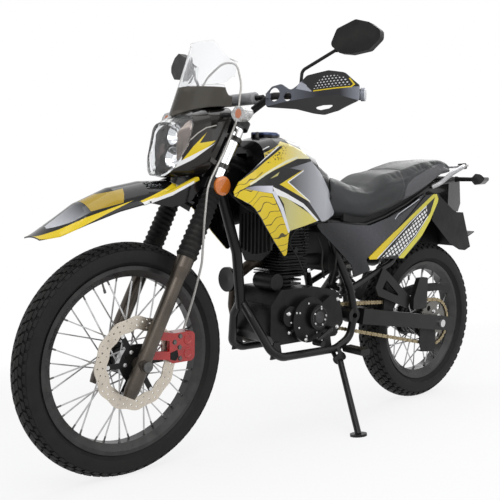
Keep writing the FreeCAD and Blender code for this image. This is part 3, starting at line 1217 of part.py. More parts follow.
def main_frame():
    """Head tube, backbone, downtube, double cradle, pivot bosses and seat rails."""
    low, high = LOWER_CLAMP + LOWER_CLAMP_DEPTH + STEM_HEAD_GAP, UPPER_CLAMP - STEM_HEAD_GAP
    bore = STEM_RADIUS + RUNNING_GAP
    neck = rod(stem(low), stem(high), HEAD_TUBE_RADIUS)
    neck_top, neck_low = stem(BACKBONE_HEIGHT), stem(DOWNTUBE_HEIGHT)
    spine, front = body_path(BACKBONE_SHARES, 0), body_path(DOWNTUBE_SHARES, 0)
    backbone = tube([neck_top] + spine, BACKBONE_RADIUS, FRAME_BEND)
    down = tube([neck_low] + front, DOWNTUBE_RADIUS, FRAME_BEND)
    gusset = plate([neck_low, neck_top, between(neck_top, spine[0], GUSSET_SHARES[0]),
                    between(neck_low, front[0], GUSSET_SHARES[1])], -GUSSET_WALL / 2, GUSSET_WALL / 2)
    cradle = tube(body_path(CRADLE_SHARES, CRADLE_HALF), CRADLE_RADIUS, FRAME_BEND)
    rail = tube(body_path(RAIL_SHARES, RAIL_HALF), RAIL_RADIUS, FRAME_BEND)
    strut = tube(body_path(STRUT_SHARES, CRADLE_HALF), RAIL_RADIUS, FRAME_BEND)
    pivot = body(*PIVOT_SHARES)
    boss = rod(pivot + LEFTWARD * (PIVOT_HALF + RUNNING_GAP), pivot + LEFTWARD * (CRADLE_HALF + CRADLE_RADIUS),
               PIVOT_BOSS_RADIUS)
    side = fused([cradle, rail, strut, boss, peg_lug()] + [engine_tab(x) for x in ENGINE_TAB_SHARES])
    cross = [crosswise(body(x, z), RAIL_RADIUS, y * half) for x, z, y, half in
             (RAIL_SHARES[0] + (RAIL_HALF,), RAIL_SHARES[-1] + (RAIL_HALF,), SHOCK_CROSS_SHARES + (1, RAIL_HALF))]
    whole = fused([neck, backbone, down, gusset, side, mirrored(side), stand_bracket()] + cross)
    return whole.cut(rod(stem(low - OVERRUN), stem(high + OVERRUN), bore)).cut(
        crosswise(pivot, PIVOT_BOLT_RADIUS + RUNNING_GAP, CRADLE_HALF + OVERRUN))


def engine_tab(x_share):
    """A plate from the cradle tube to the crankcase's side."""
    inner = CRANKCASE_HALF + RUNNING_GAP
    foot = body(x_share, CRADLE_SHARES[4][1])
    head = body(x_share, CRANKCASE_SHARES[1][1]) + Vector(0, 0, ENGINE_TAB_RISE)
    corners = [foot - Vector(ENGINE_TAB_FOOT, 0, 0), foot + Vector(ENGINE_TAB_FOOT, 0, 0),
               head + Vector(ENGINE_TAB_HEAD, 0, 0), head - Vector(ENGINE_TAB_HEAD, 0, 0)]
    return plate(corners, inner, inner + ENGINE_TAB_WALL)


def peg_lug():
    """The lug that carries a rider's footpeg."""
    return rod(body(*PEG_SHARES, CRADLE_HALF), body(*PEG_SHARES, PEG_START - RUNNING_GAP), PEG_LUG_RADIUS)


def stand_bracket():
    """Two ears and a pin under the left cradle tube, for the side stand."""
    pin, axis = stand_pivot(), stand_axis()
    rise = Vector(pin.x, CRADLE_HALF, CRADLE_SHARES[4][1] * BODY_HEIGHT) - pin
    rise = rise - axis * rise.dot(axis)
    outer = STAND_EAR_HALF + RUNNING_GAP + STAND_EAR_WALL
    ears = []
    for side in (-1, 1):
        near, far = side * (STAND_EAR_HALF + RUNNING_GAP), side * outer
        middle = axis * ((near + far) / 2)
        ears += [rod(pin + axis * near, pin + axis * far, STAND_EAR_RADIUS),
                 bar(pin + middle, pin + middle + rise, STAND_EAR_RADIUS, STAND_EAR_WALL, axis)]
    return fused(ears + [rod(pin - axis * outer, pin + axis * outer, STAND_PIN_RADIUS)])


def engine_crankcase():
    """The crankcase with its round covers, and the output sprocket in its pocket."""
    case = side_plate(CRANKCASE_SHARES, -CRANKCASE_HALF, CRANKCASE_HALF, CRANKCASE_ROUND)
    pocket_floor = CRANKCASE_HALF - POCKET_DEPTH
    covers = []
    for x, z, size, side, out in COVERS_SHARES:
        covers.append(rod(body(x, z, side * (CRANKCASE_HALF - COVER_WALL)), body(x, z, side * out * CRANKCASE_HALF),
                          size * CRANKCASE_HALF))
    lid = side_plate(SPROCKET_COVER_SHARES, CRANKCASE_HALF, CRANKCASE_HALF + SPROCKET_COVER_WALL, CRANKCASE_ROUND)
    low, high = [share * CRANKCASE_HALF for share in STARTER_Y_SHARES]
    starter = rod(body(*STARTER_SHARES, low), body(*STARTER_SHARES, high), STARTER_RADIUS)
    centre = body(*FRONT_SPROCKET_SHARES)
    shaft = rod(centre + LEFTWARD * pocket_floor, centre + LEFTWARD * (CRANKCASE_HALF + SPROCKET_COVER_WALL),
                OUTPUT_SHAFT_RADIUS)
    disc_start = CHAIN_PLANE - SPROCKET_THICKNESS / 2
    disc = rod(centre + LEFTWARD * disc_start, centre + LEFTWARD * (disc_start + SPROCKET_THICKNESS),
               FRONT_SPROCKET_RADIUS - TOOTH_HEIGHT)
    whole = fused([case] + covers + [lid, starter])
    return fused([whole.cut(pocket_room()), shaft, disc])


def pocket_room():
    """The space in which the chain turns round its front sprocket."""
    return side_plate(POCKET_SHARES, CRANKCASE_HALF - POCKET_DEPTH, CRANKCASE_HALF + CHAIN_CLEARANCE)


def engine_cylinder():
    """A finned barrel and head with a rocker cover."""
    base = body(*CYLINDER_SHARES) + Vector(0, 0, RUNNING_GAP)
    core = Part.makeCylinder(CYLINDER_RADIUS, CYLINDER_HEIGHT, base)
    fins = []
    for index in range(FINS):
        size = FIN_HEAD_SHARE if index >= BARREL_FINS else 1.0
        fin = block(base + Vector(0, 0, FIN_START + FIN_PITCH * index), FIN_LENGTH * size, FIN_WIDTH * size,
                    FIN_THICKNESS)
        fins.append(fin.makeFillet(FIN_ROUND, upright_edges(fin)))
    top = base + Vector(0, 0, CYLINDER_HEIGHT)
    head = block(top - Vector(0, 0, HEAD_BLOCK / 2), HEAD_LENGTH, HEAD_WIDTH, HEAD_BLOCK)
    cover = block(top + Vector(0, 0, ROCKER_HEIGHT / 2), ROCKER_LENGTH, ROCKER_WIDTH, ROCKER_HEIGHT)
    cover = cover.makeFillet(ROCKER_ROUND, upright_edges(cover))
    plug = rod(base + Vector(0, 0, PLUG_LEVEL), base + Vector(0, FIN_WIDTH * PLUG_SHARE, PLUG_LEVEL), PLUG_RADIUS)
    return fused([core, head, cover, plug] + fins)


def upright_edges(shape):
    return [edge for edge in shape.Edges if abs(edge.tangentAt(edge.FirstParameter).z) > AXIS_UPRIGHT_SHARE]


def port(side, y=0.0):
    """The centre of a port on the cylinder head: ahead of it for 1, behind it for -1."""
    reach = side * (HEAD_LENGTH / 2 + RUNNING_GAP)
    return body(*CYLINDER_SHARES, y) + Vector(reach, 0, PORT_LEVEL)


def intake():
    """The carburettor between the head and the airbox."""
    start = port(-1)
    start = start - Vector((FIN_HEAD_SHARE * FIN_LENGTH - HEAD_LENGTH) / 2 + RUNNING_GAP, 0, 0)
    end = start - Vector(CARB_LENGTH, 0, 0)
    middle = between(start, end, 1 / 2)
    size = CARB_LENGTH * CARB_BOWL_SHARE
    bowl = block(middle - Vector(0, 0, CARB_BOWL / 2), size, CARB_RADIUS * 2, CARB_BOWL)
    cap = Part.makeCylinder(CARB_RADIUS, CARB_CAP, middle)
    airbox = side_plate(AIRBOX_SHARES, -AIRBOX_HALF, AIRBOX_HALF, CRANKCASE_ROUND)
    wall = body(AIRBOX_SHARES[0][0], start.z / BODY_HEIGHT) - Vector(CRANKCASE_ROUND, 0, 0)
    hose = rod(end, wall, CARB_RADIUS * INTAKE_HOSE_SHARE)
    return fused([rod(start, end, CARB_RADIUS), bowl, cap, airbox, hose])


def horn():
    """The horn on its strap, beside the frame's downtube."""
    back = body(HORN_SHARES[0], HORN_SHARES[1], HORN_SHARES[2] * CRADLE_HALF)
    dish = turned(back, Vector(1, 0, 0), [(0, 0), (0, HORN_RADIUS * HORN_FACE_SHARE), (HORN_DEPTH / 2, HORN_RADIUS),
                                          (HORN_DEPTH, HORN_RADIUS), (HORN_DEPTH * HORN_FACE_SHARE, 0)])
    start = Vector(back.x, -DOWNTUBE_RADIUS - RUNNING_GAP, back.z) + Vector(HORN_DEPTH / 2, 0, 0)
    strap = bar(start, back + Vector(HORN_DEPTH / 2, 0, 0), HORN_STRAP, HORN_STRAP_WIDTH)
    return fused([dish, strap])


# Exhaust

def exhaust_path(shares):
    return [body(x, z, y * EXHAUST_HALF) for x, z, y in shares]


def muffler_ends():
    return exhaust_path([MUFFLER_START_SHARES, MUFFLER_END_SHARES])


def exhaust_pipe():
    """The header from the head's front port, down and back along the right side."""
    start, end = muffler_ends()
    first = port(1, PORT_Y_SHARE * EXHAUST_HALF) + Vector((FIN_HEAD_SHARE * FIN_LENGTH - HEAD_LENGTH) / 2, 0, 0)
    last = start + unit(end - start) * (MUFFLER_SOCKET - RUNNING_GAP)
    return tube([first] + exhaust_path(HEADER_SHARES) + [last], HEADER_RADIUS, HEADER_BEND)


def muffler():
    """The silencer, high on the right, with a socket for the header and an open spout."""
    start, end = muffler_ends()
    length = (end - start).Length
    socket = HEADER_RADIUS + RUNNING_GAP
    neck = socket + PANEL_WALL
    spout_in = MUFFLER_SPOUT_RADIUS - MUFFLER_SPOUT_WALL
    can = turned(start, end - start, [
        (0, socket), (0, neck), (MUFFLER_SOCKET, neck), (MUFFLER_SOCKET + MUFFLER_CONE, MUFFLER_RADIUS),
        (length - MUFFLER_TAIL, MUFFLER_RADIUS), (length, MUFFLER_SPOUT_RADIUS),
        (length + MUFFLER_SPOUT, MUFFLER_SPOUT_RADIUS), (length + MUFFLER_SPOUT, spout_in),
        (length - MUFFLER_TAIL, spout_in), (length - MUFFLER_TAIL, 0), (MUFFLER_SOCKET, 0), (MUFFLER_SOCKET, socket)])
    return can


# Tank and its panels

def tank_body(grow=0.0):
    return hull([(x * BODY_LENGTH, low * BODY_HEIGHT, high * BODY_HEIGHT, half * TANK_HALF)
                 for x, half, low, high in TANK_STATION_SHARES], TANK_SQUARE, grow, TANK_WAIST_SHARE)


def lid_hinge():
    """The point on the filler lid's pin, ahead of the lid."""
    return body(*CAP_SHARES) + Vector(CAP_RADIUS + LID_HINGE_REACH, 0, LID_HINGE_RISE)


def fuel_tank():
    """The tank, with a tunnel for the backbone and a filler ring with its lid's ears."""
    tunnel = side_plate(TUNNEL_SHARES, -TUNNEL_HALF, TUNNEL_HALF)
    top = body(*CAP_SHARES)
    ring = Part.makeCylinder(CAP_RADIUS, CAP_RING, top - Vector(0, 0, CAP_RING))
    filler = Part.makeCylinder(FILLER_RADIUS, FILLER_DEPTH + OVERRUN, top - Vector(0, 0, FILLER_DEPTH))
    hinge = lid_hinge()
    ears = []
    for side in (-1, 1):
        middle = hinge + LEFTWARD * (side * (LID_BARREL_HALF + RUNNING_GAP + LID_EAR / 2))
        ears += [crosswise(middle, LID_BARREL, LID_EAR / 2),
                 block(middle - Vector(0, 0, CAP_RING / 2), LID_BARREL * 2, LID_EAR, CAP_RING)]
    pin = crosswise(hinge, LID_PIN, LID_BARREL_HALF + LID_EAR)
    return fused([tank_body().cut(tunnel), ring, pin] + ears).cut(filler)


def fuel_cap():
    """The filler lid with its hinge barrel."""
    base = body(*CAP_SHARES) + Vector(0, 0, RUNNING_GAP)
    hinge = lid_hinge()
    lid = Part.makeCylinder(CAP_RADIUS, CAP_HEIGHT, base)
    lid = lid.makeFillet(CAP_HEIGHT * LENS_EDGE_SHARE, [edge for edge in lid.Edges
                                                        if edge.CenterOfMass.z > base.z + CAP_HEIGHT - CLOSE])
    barrel = crosswise(hinge, LID_BARREL - RUNNING_GAP, LID_BARREL_HALF)
    arm = block(hinge - Vector(LID_HINGE_REACH, 0, 0), LID_HINGE_REACH * 2, LID_BARREL_HALF * 2, LID_BARREL)
    return fused([lid, barrel, arm]).cut(crosswise(hinge, LID_PIN + RUNNING_GAP, OVERRUN))


def panel(stations, levels, shares, radius):
    """A curved side panel on the left, cut from a skin by its outline in the side view."""
    sheet = skin([(x * BODY_LENGTH, [(y * TANK_HALF, z * BODY_HEIGHT) for y, z in zip(widths, levels)])
                  for x, widths in stations], PANEL_WALL)
    return sheet.common(side_plate(shares, 0, TANK_HALF * 2, radius))


def tank_shrouds():
    """Side shrouds that wrap the tank and reach forward past the fork."""
    return both_sides(panel(SHROUD_STATION_SHARES, SHROUD_LEVEL_SHARES, SHROUD_SHARES, PANEL_ROUND))


def side_covers():
    shares = SEAM_SHARES + SIDE_COVER_SHARES
    return both_sides(panel(COVER_STATION_SHARES, COVER_LEVEL_SHARES, shares, PANEL_ROUND / 2))


def tail_panels():
    gap = SEAM_GAP / BODY_HEIGHT
    shares = TAIL_PANEL_SHARES + tuple((x, z - gap) for x, z in SEAM_SHARES[::-1])
    return both_sides(panel(TAIL_STATION_SHARES, TAIL_LEVEL_SHARES, shares, PANEL_ROUND / 2))


def seat():
    """A stepped seat for two, cut to the tank's back."""
    pad = hull([(x * BODY_LENGTH, low * BODY_HEIGHT, high * BODY_HEIGHT, half * TANK_HALF)
                for x, half, low, high in SEAT_STATION_SHARES], SEAT_SQUARE)
    front = side_plate(SEAT_FRONT_SHARES, -TANK_HALF, TANK_HALF)
    tunnel = side_plate(TUNNEL_SHARES, -TUNNEL_HALF, TUNNEL_HALF)
    return pad.cut(front).cut(tunnel).cut(tank_body(RUNNING_GAP))


# Tail

def rear_fender():
    """The tail's underside between two skirts, with its plate holder."""
    roof = side_plate(FENDER_ROOF_SHARES, -REAR_FENDER_HALF, REAR_FENDER_HALF)
    skirt = side_plate(SKIRT_SHARES, REAR_FENDER_HALF - PANEL_WALL, REAR_FENDER_HALF, SKIRT_ROUND)
    holder = bar(body(*HOLDER_SHARES[0]), body(*HOLDER_SHARES[1]), HOLDER_WIDTH, PANEL_WALL)
    return fused([roof, skirt, mirrored(skirt), holder])


def luggage_rack():
    """Grab rails either side of the seat's tail, joined by a slotted carrier plate."""
    rail = tube(body_path(RACK_SHARES, RACK_HALF), RACK_RADIUS, FRAME_BEND)
    deck = side_plate(RACK_DECK_SHARES, -RACK_DECK_HALF, RACK_DECK_HALF)
    for x in RACK_SLOTS_SHARES:
        deck = deck.cut(block(body(x, RACK_DECK_SHARES[0][1]), RACK_SLOT, RACK_SLOT_HALF * 2, OVERRUN * 2))
    for x, y in ((-1, -1), (-1, 1), (1, -1), (1, 1)):
        bolt = rack_point(x * RACK_BOLT_HALF, y * RACK_BOLT_HALF)
        deck = deck.cut(rod(bolt - rack_normal() * OVERRUN, bolt + rack_normal() * OVERRUN, RACK_BOLT_RADIUS))
    frame_rail = tube(body_path(RAIL_SHARES, RAIL_HALF), RAIL_RADIUS + RUNNING_GAP, FRAME_BEND)
    rail = rail.cut(frame_rail)
    return fused([rail, mirrored(rail), deck])


def rack_along():
    """The direction of the carrier plate, toward the front."""
    return unit(body(*RACK_DECK_SHARES[3]) - body(*RACK_DECK_SHARES[2]))


def rack_normal():
    return rack_along().cross(LEFTWARD)


def rack_point(ahead=0.0, y=0.0):
    """A point of the carrier plate's upper face, from its middle."""
    middle = between(body(*RACK_DECK_SHARES[2]), body(*RACK_DECK_SHARES[3]), 1 / 2)
    return middle + rack_along() * ahead + LEFTWARD * y


def rear_lamps():
    """The tail light with the two rear turn lamps on its sides."""
    lamp = side_plate(TAIL_LIGHT_SHARES, -TAIL_LIGHT_HALF, TAIL_LIGHT_HALF, PANEL_ROUND / 2)
    x, z, y = REAR_INDICATOR_SHARES
    centre = body(x, z, y * REAR_FENDER_HALF)
    head = lamp_head(centre, INDICATOR_LENGTH, INDICATOR_HEIGHT, INDICATOR_WIDTH)
    stalk = rod(body(x, z), centre, INDICATOR_STEM_RADIUS)
    return fused([lamp, stalk, mirrored(stalk), head, mirrored(head)])


# Rear suspension and drive

def yoke_centre():
    """The middle of the swingarm's cross member, on the line from the pivot to the axle."""
    return between(REAR_AXLE, body(*PIVOT_SHARES), YOKE_SHARE)


def swingarm():
    """A pivot tube, links, a cross member and two box arms to the rear axle."""
    pivot, yoke = body(*PIVOT_SHARES), yoke_centre()
    along = unit(yoke - REAR_AXLE)
    shapes = [crosswise(pivot, PIVOT_SLEEVE_RADIUS, PIVOT_HALF),
              block(yoke, YOKE_LENGTH, ARM_PLANE * 2, ARM_HEIGHT - RUNNING_GAP)]
    for side in (-1, 1):
        link, arm = LEFTWARD * (side * LINK_PLANE), LEFTWARD * (side * ARM_PLANE)
        shapes.append(bar(pivot + link, yoke + link, LINK_WIDTH, PIVOT_SLEEVE_RADIUS * 2))
        shapes.append(bar(REAR_AXLE - along * ARM_TAIL + arm, yoke + along * ARM_NOSE + arm, ARM_WIDTH, ARM_HEIGHT))
    return fused(shapes).cut(crosswise(REAR_AXLE, AXLE_RADIUS + RUNNING_GAP, ARM_PLANE + OVERRUN)).cut(
        crosswise(pivot, PIVOT_BOLT_RADIUS + RUNNING_GAP, ARM_PLANE))


def rear_axle():
    """The rear axle bolt with its spacers, its ends and the brake plate on the right."""
    inner = ARM_PLANE - ARM_WIDTH / 2 - RUNNING_GAP
    outer = ARM_PLANE + ARM_WIDTH / 2 + RUNNING_GAP
    sprocket_face = CHAIN_PLANE + SPROCKET_THICKNESS / 2 + RUNNING_GAP
    drum = -REAR_HUB_HALF - BRAKE_GAP
    profile = [(-outer - AXLE_HEAD_DEPTH, 0), (-outer - AXLE_HEAD_DEPTH, AXLE_HEAD), (-outer, AXLE_HEAD),
               (-outer, AXLE_RADIUS), (-inner, AXLE_RADIUS), (-inner, AXLE_HEAD), (drum - BRAKE_PLATE, AXLE_HEAD),
               (drum - BRAKE_PLATE, REAR_HUB_RADIUS), (drum, REAR_HUB_RADIUS), (drum, AXLE_RADIUS),
               (sprocket_face, AXLE_RADIUS), (sprocket_face, AXLE_HEAD), (inner, AXLE_HEAD), (inner, AXLE_RADIUS),
               (outer, AXLE_RADIUS), (outer, AXLE_HEAD), (outer + AXLE_HEAD_DEPTH, AXLE_HEAD),
               (outer + AXLE_HEAD_DEPTH, 0)]
    return turned(REAR_AXLE, LEFTWARD, profile)


def rear_shock():
    """A single spring and damper between the swingarm's yoke and the frame."""
    low, high = body(*SHOCK_LOW_SHARES), body(*SHOCK_HIGH_SHARES)
    length = (high - low).Length
    pitch = (length - SHOCK_COLLAR * 2) / SPRING_TURNS
    inside = SPRING_RADIUS - SPRING_WIRE
    profile = [(0, 0), (0, SHOCK_EYE_RADIUS), (SHOCK_COLLAR, SHOCK_EYE_RADIUS), (SHOCK_COLLAR, inside)]
    for turn in range(SPRING_TURNS):
        start = SHOCK_COLLAR + pitch * turn
        profile += [(start + pitch / 4, inside), (start + pitch / 2, SPRING_RADIUS),
                    (start + pitch * 3 / 4, inside)]
    profile += [(length - SHOCK_COLLAR, inside), (length - SHOCK_COLLAR, SHOCK_EYE_RADIUS), (length, SHOCK_EYE_RADIUS),
                (length, 0)]
    return turned(low, high - low, profile)


def chain_face(offset, y):
    """The face inside the chain's run round both sprockets, this far out from their pitch circles."""
    rear, front = REAR_AXLE, body(*FRONT_SPROCKET_SHARES)
    big, small = REAR_SPROCKET_RADIUS + offset, FRONT_SPROCKET_RADIUS + offset
    span = front - rear
    slope = math.atan2(span.z, span.x)
    spread = math.acos((big - small) / span.Length)

    def at(centre, radius, angle):
        return Vector(centre.x + radius * math.cos(angle), y, centre.z + radius * math.sin(angle))

    top, bottom = slope + spread, slope - spread
    edges = [Part.LineSegment(at(rear, big, top), at(front, small, top)).toShape(),
             Part.Arc(at(front, small, top), at(front, small, slope), at(front, small, bottom)).toShape(),
             Part.LineSegment(at(front, small, bottom), at(rear, big, bottom)).toShape(),
             Part.Arc(at(rear, big, bottom), at(rear, big, slope + math.pi), at(rear, big, top)).toShape()]
    return Part.Face(Part.Wire(edges))


def drive_chain():
    """The chain as one loop, grooved for the sprockets' teeth."""
    start, groove_start = CHAIN_PLANE - CHAIN_WIDTH / 2, CHAIN_PLANE - CHAIN_GROOVE / 2
    whole = chain_face(CHAIN_HEIGHT / 2, start).extrude(LEFTWARD * CHAIN_WIDTH)
    inside = chain_face(-CHAIN_HEIGHT / 2, start).extrude(LEFTWARD * CHAIN_WIDTH)
    groove = chain_face(CHAIN_CLEARANCE, groove_start).extrude(LEFTWARD * CHAIN_GROOVE)
    return whole.cut(inside).cut(groove)


def chain_guard():
    """The blade over the chain and the guide under it, both on the left arm."""
    face = ARM_PLANE - ARM_WIDTH / 2 - RUNNING_GAP
    blade = side_plate(GUARD_BLADE_SHARES, face - PANEL_WALL, face)
    flange = side_plate(GUARD_TOP_SHARES, GUARD_INNER, face)
    plate_out = side_plate(GUIDE_SHARES, face - PANEL_WALL, face)
    floor = side_plate(GUIDE_FLOOR_SHARES, GUARD_INNER, face)
    return apart([fused([blade, flange]), fused([plate_out, floor])])


# Pegs, pedals and stand

def footpegs():
    """Rider's pegs on the cradle, and the passenger's, folded up on their hangers."""
    start = body(*PEG_SHARES, PEG_START)
    rider = block(start + LEFTWARD * (PEG_LENGTH / 2), PEG_WIDTH, PEG_LENGTH, PEG_HEIGHT)
    rider = rider.makeFillet(PEG_ROUND, [edge for edge in rider.Edges
                                         if abs(edge.tangentAt(edge.FirstParameter).y) > AXIS_UPRIGHT_SHARE])
    inner = CRADLE_HALF * STRUT_SHARES[0][2] + RAIL_RADIUS + RUNNING_GAP
    outer = inner + HANGER_WALL
    hanger = side_plate(HANGER_SHARES, inner, outer, HANGER_ROUND)
    hanger = hanger.cut(side_plate(HANGER_WINDOW_SHARES, inner, outer, HANGER_ROUND / 2))
    passenger = side_plate(PASSENGER_PEG_SHARES, outer, outer + PASSENGER_PEG_DEPTH, HANGER_ROUND)
    return apart([both_sides(rider), both_sides(fused([hanger, passenger]))])


def foot_controls():
    """The gear lever on the left, the brake pedal and the kick starter on the right."""
    shapes = []
    for shares in (GEAR_LEVER_SHARES, BRAKE_PEDAL_SHARES, KICK_SHARES):
        path = body_path(shares, CRANKCASE_HALF)
        arm = tube(path, PEDAL_RADIUS, PEDAL_BEND)
        end = path[-1]
        outward = LEFTWARD * math.copysign(1, end.y)
        tread = rod(end - outward * PEDAL_RADIUS, end + outward * TREAD_LENGTH, PEDAL_RADIUS * TREAD_SHARE)
        shapes.append(fused([arm, tread]))
    return apart(shapes)


def ground_lift():
    """How far the round treads raise the leaned bike."""
    return REAR_CROWN * (1 - math.cos(math.radians(LEAN)))


def ground_point(x, y):
    """The point of the floor that is under a place on the leaned bike."""
    tilt = math.radians(LEAN)
    return Vector(x, y, (y * math.sin(tilt) - ground_lift()) / math.cos(tilt))


def stand_pivot():
    x, z, y = STAND_PIVOT_SHARES
    return body(x, z, y * CRADLE_HALF)


def stand_foot():
    return ground_point(STAND_FOOT_SHARES[0] * BODY_LENGTH, STAND_FOOT_SHARES[1] * CRADLE_HALF)


def stand_axis():
    """The side stand's pin, square to the leg both down and folded back."""
    return unit((stand_foot() - stand_pivot()).cross(Vector(*STAND_FOLDED_SHARES)))


def side_stand():
    """The side stand, down on the floor."""
    pin, foot, axis = stand_pivot(), stand_foot(), stand_axis()
    tilt = math.radians(LEAN)
    upward = Vector(0, -math.sin(tilt), math.cos(tilt))
    sole = rod(foot, foot + upward * STAND_SOLE, STAND_SOLE_RADIUS)
    shank = rod(pin, foot + upward * STAND_SOLE / 2, STAND_RADIUS)
    eye = rod(pin - axis * STAND_EAR_HALF, pin + axis * STAND_EAR_HALF, STAND_EYE_RADIUS)
    whole = fused([shank, sole, eye])
    floor = rod(foot, foot - upward * OVERRUN, STAND_SOLE_RADIUS + OVERRUN)
    reach = axis * (STAND_EAR_HALF + OVERRUN)
    pin_room = rod(pin - reach, pin + reach, STAND_PIN_RADIUS + RUNNING_GAP)
    return whole.cut(floor).cut(pin_room)


# The leaned frame, and the files

def placed(shape):
    """The shape leaned to the left, with its origin on the floor under the middle."""
    matrix = Matrix()
    matrix.rotateX(math.radians(-LEAN))
    matrix.move(Vector(-ORIGIN_X, -ORIGIN_Y, ground_lift()))
    return shape.transformShape(matrix, True)


def world(point):
    """Where a point of the upright drawing is on the leaned bike."""
    tilt = math.radians(LEAN)
    return Vector(point.x - ORIGIN_X, point.y * math.cos(tilt) + point.z * math.sin(tilt) - ORIGIN_Y,
                  point.z * math.cos(tilt) - point.y * math.sin(tilt) + ground_lift())


MAKERS = (main_frame, engine_crankcase, engine_cylinder, intake, exhaust_pipe, muffler, fuel_tank, fuel_cap,
          tank_shrouds, seat, side_covers, tail_panels, rear_fender, luggage_rack, rear_lamps, swingarm,
          rear_shock, drive_chain, chain_guard, footpegs, foot_controls, horn, rear_axle, side_stand,
          triple_clamps, fork_tubes, fork_gaiters, fork_lowers, front_axle, handlebar, bar_pad, bar_controls,
          handguards, mirrors, headlight_cowl, headlight_lens, windscreen, instruments, front_fender,
          front_indicators, brake_caliper, brake_hose, front_tyre, front_wheel, front_disc, rear_tyre,
          rear_wheel, rear_sprocket)


def build():
    os.makedirs("parts", exist_ok=True)
    for maker in MAKERS:
        placed(maker()).exportStep(os.path.join("parts", maker.__name__ + ".step"))


if __name__ == "__main__":
    build()
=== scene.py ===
import bmesh
import bpy
import math
from mathutils import Matrix, Vector
from mathutils.bvhtree import BVHTree
from mathutils.geometry import tessellate_polygon


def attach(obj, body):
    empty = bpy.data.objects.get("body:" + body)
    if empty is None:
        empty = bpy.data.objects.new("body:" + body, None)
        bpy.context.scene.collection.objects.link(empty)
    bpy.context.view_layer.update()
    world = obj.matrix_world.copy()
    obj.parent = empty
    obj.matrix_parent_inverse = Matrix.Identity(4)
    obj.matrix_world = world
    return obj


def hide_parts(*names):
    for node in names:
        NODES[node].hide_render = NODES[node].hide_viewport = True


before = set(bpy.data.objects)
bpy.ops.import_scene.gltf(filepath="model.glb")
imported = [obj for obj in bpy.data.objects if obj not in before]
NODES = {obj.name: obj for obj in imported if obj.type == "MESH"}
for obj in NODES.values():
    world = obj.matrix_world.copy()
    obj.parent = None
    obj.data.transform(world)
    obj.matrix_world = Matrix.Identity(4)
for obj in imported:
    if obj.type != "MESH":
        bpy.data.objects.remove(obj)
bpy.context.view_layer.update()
FULL = 2 * math.pi

# The source draws the bike upright, in millimetres from the rear axle, and then leans it.
# These three values carry a point of that drawing to the row's frame.
LEAN = math.radians(9.0)
ORIGIN = (0.71211, 0.20140)
LIFT = 0.000862
TO_ROW = (Matrix.Translation((-ORIGIN[0], -ORIGIN[1], LIFT)) @ Matrix.Rotation(-LEAN, 4, "X")
          @ Matrix.Scale(0.001, 4))
TO_DRAWING = TO_ROW.inverted()

# Main places of the drawing
FRONT_AXLE = Vector((1400.0, 0.0, 346.0))
REAR_AXLE = Vector((0.0, 0.0, 322.0))
ENGINE_SPROCKET = Vector((620.0, 0.0, 410.0))
FRONT_RADIUS = 346.0
REAR_RADIUS = 322.0
LEFTWARD = Vector((0.0, 1.0, 0.0))
UPWARD = Vector((0.0, 0.0, 1.0))

# The photograph's camera, in the drawing
CAMERA_PLACE = Vector((2583.97, 1908.49, 869.09))
CAMERA_YAW = -2.28858362
CAMERA_PITCH = -0.0874712
CAMERA_ROLL = 0.0187005
CAMERA_FOCUS_SHARE = 765.615 / 500
SENSOR_WIDTH = 36.0


def placed(name, data):
    """A new object in the scene."""
    piece = bpy.data.objects.new(name, data)
    bpy.context.scene.collection.objects.link(piece)
    return piece


def dress(names, finish):
    """Gives some nodes one finish."""
    for name in names:
        slots = NODES[name].data.materials
        slots.clear()
        slots.append(finish)


def polar(radius, angle):
    return radius * math.cos(angle), radius * math.sin(angle)


def set_camera():
    """The photograph's camera, fitted to the tyres, axles, fork and bars."""
    flat, rise = polar(1.0, CAMERA_PITCH)
    ahead = Vector(polar(flat, CAMERA_YAW) + (rise,))
    right = ahead.cross(UPWARD).normalized()
    top = right.cross(ahead)
    cosine, sine = polar(1.0, CAMERA_ROLL)
    turn = Matrix((right * cosine + top * sine, top * cosine - right * sine, -ahead)).transposed()
    data = bpy.data.cameras.new("camera")
    data.sensor_fit = "HORIZONTAL"
    data.sensor_width = SENSOR_WIDTH
    data.lens = CAMERA_FOCUS_SHARE * SENSOR_WIDTH
    camera = placed("camera", data)
    lean = Matrix.Rotation(-LEAN, 3, "X")
    camera.matrix_world = Matrix.Translation(TO_ROW @ CAMERA_PLACE) @ (lean @ turn).to_4x4()
    bpy.context.scene.camera = camera
    bpy.context.scene.view_settings.view_transform = "Standard"


set_camera()


# Shader graphs

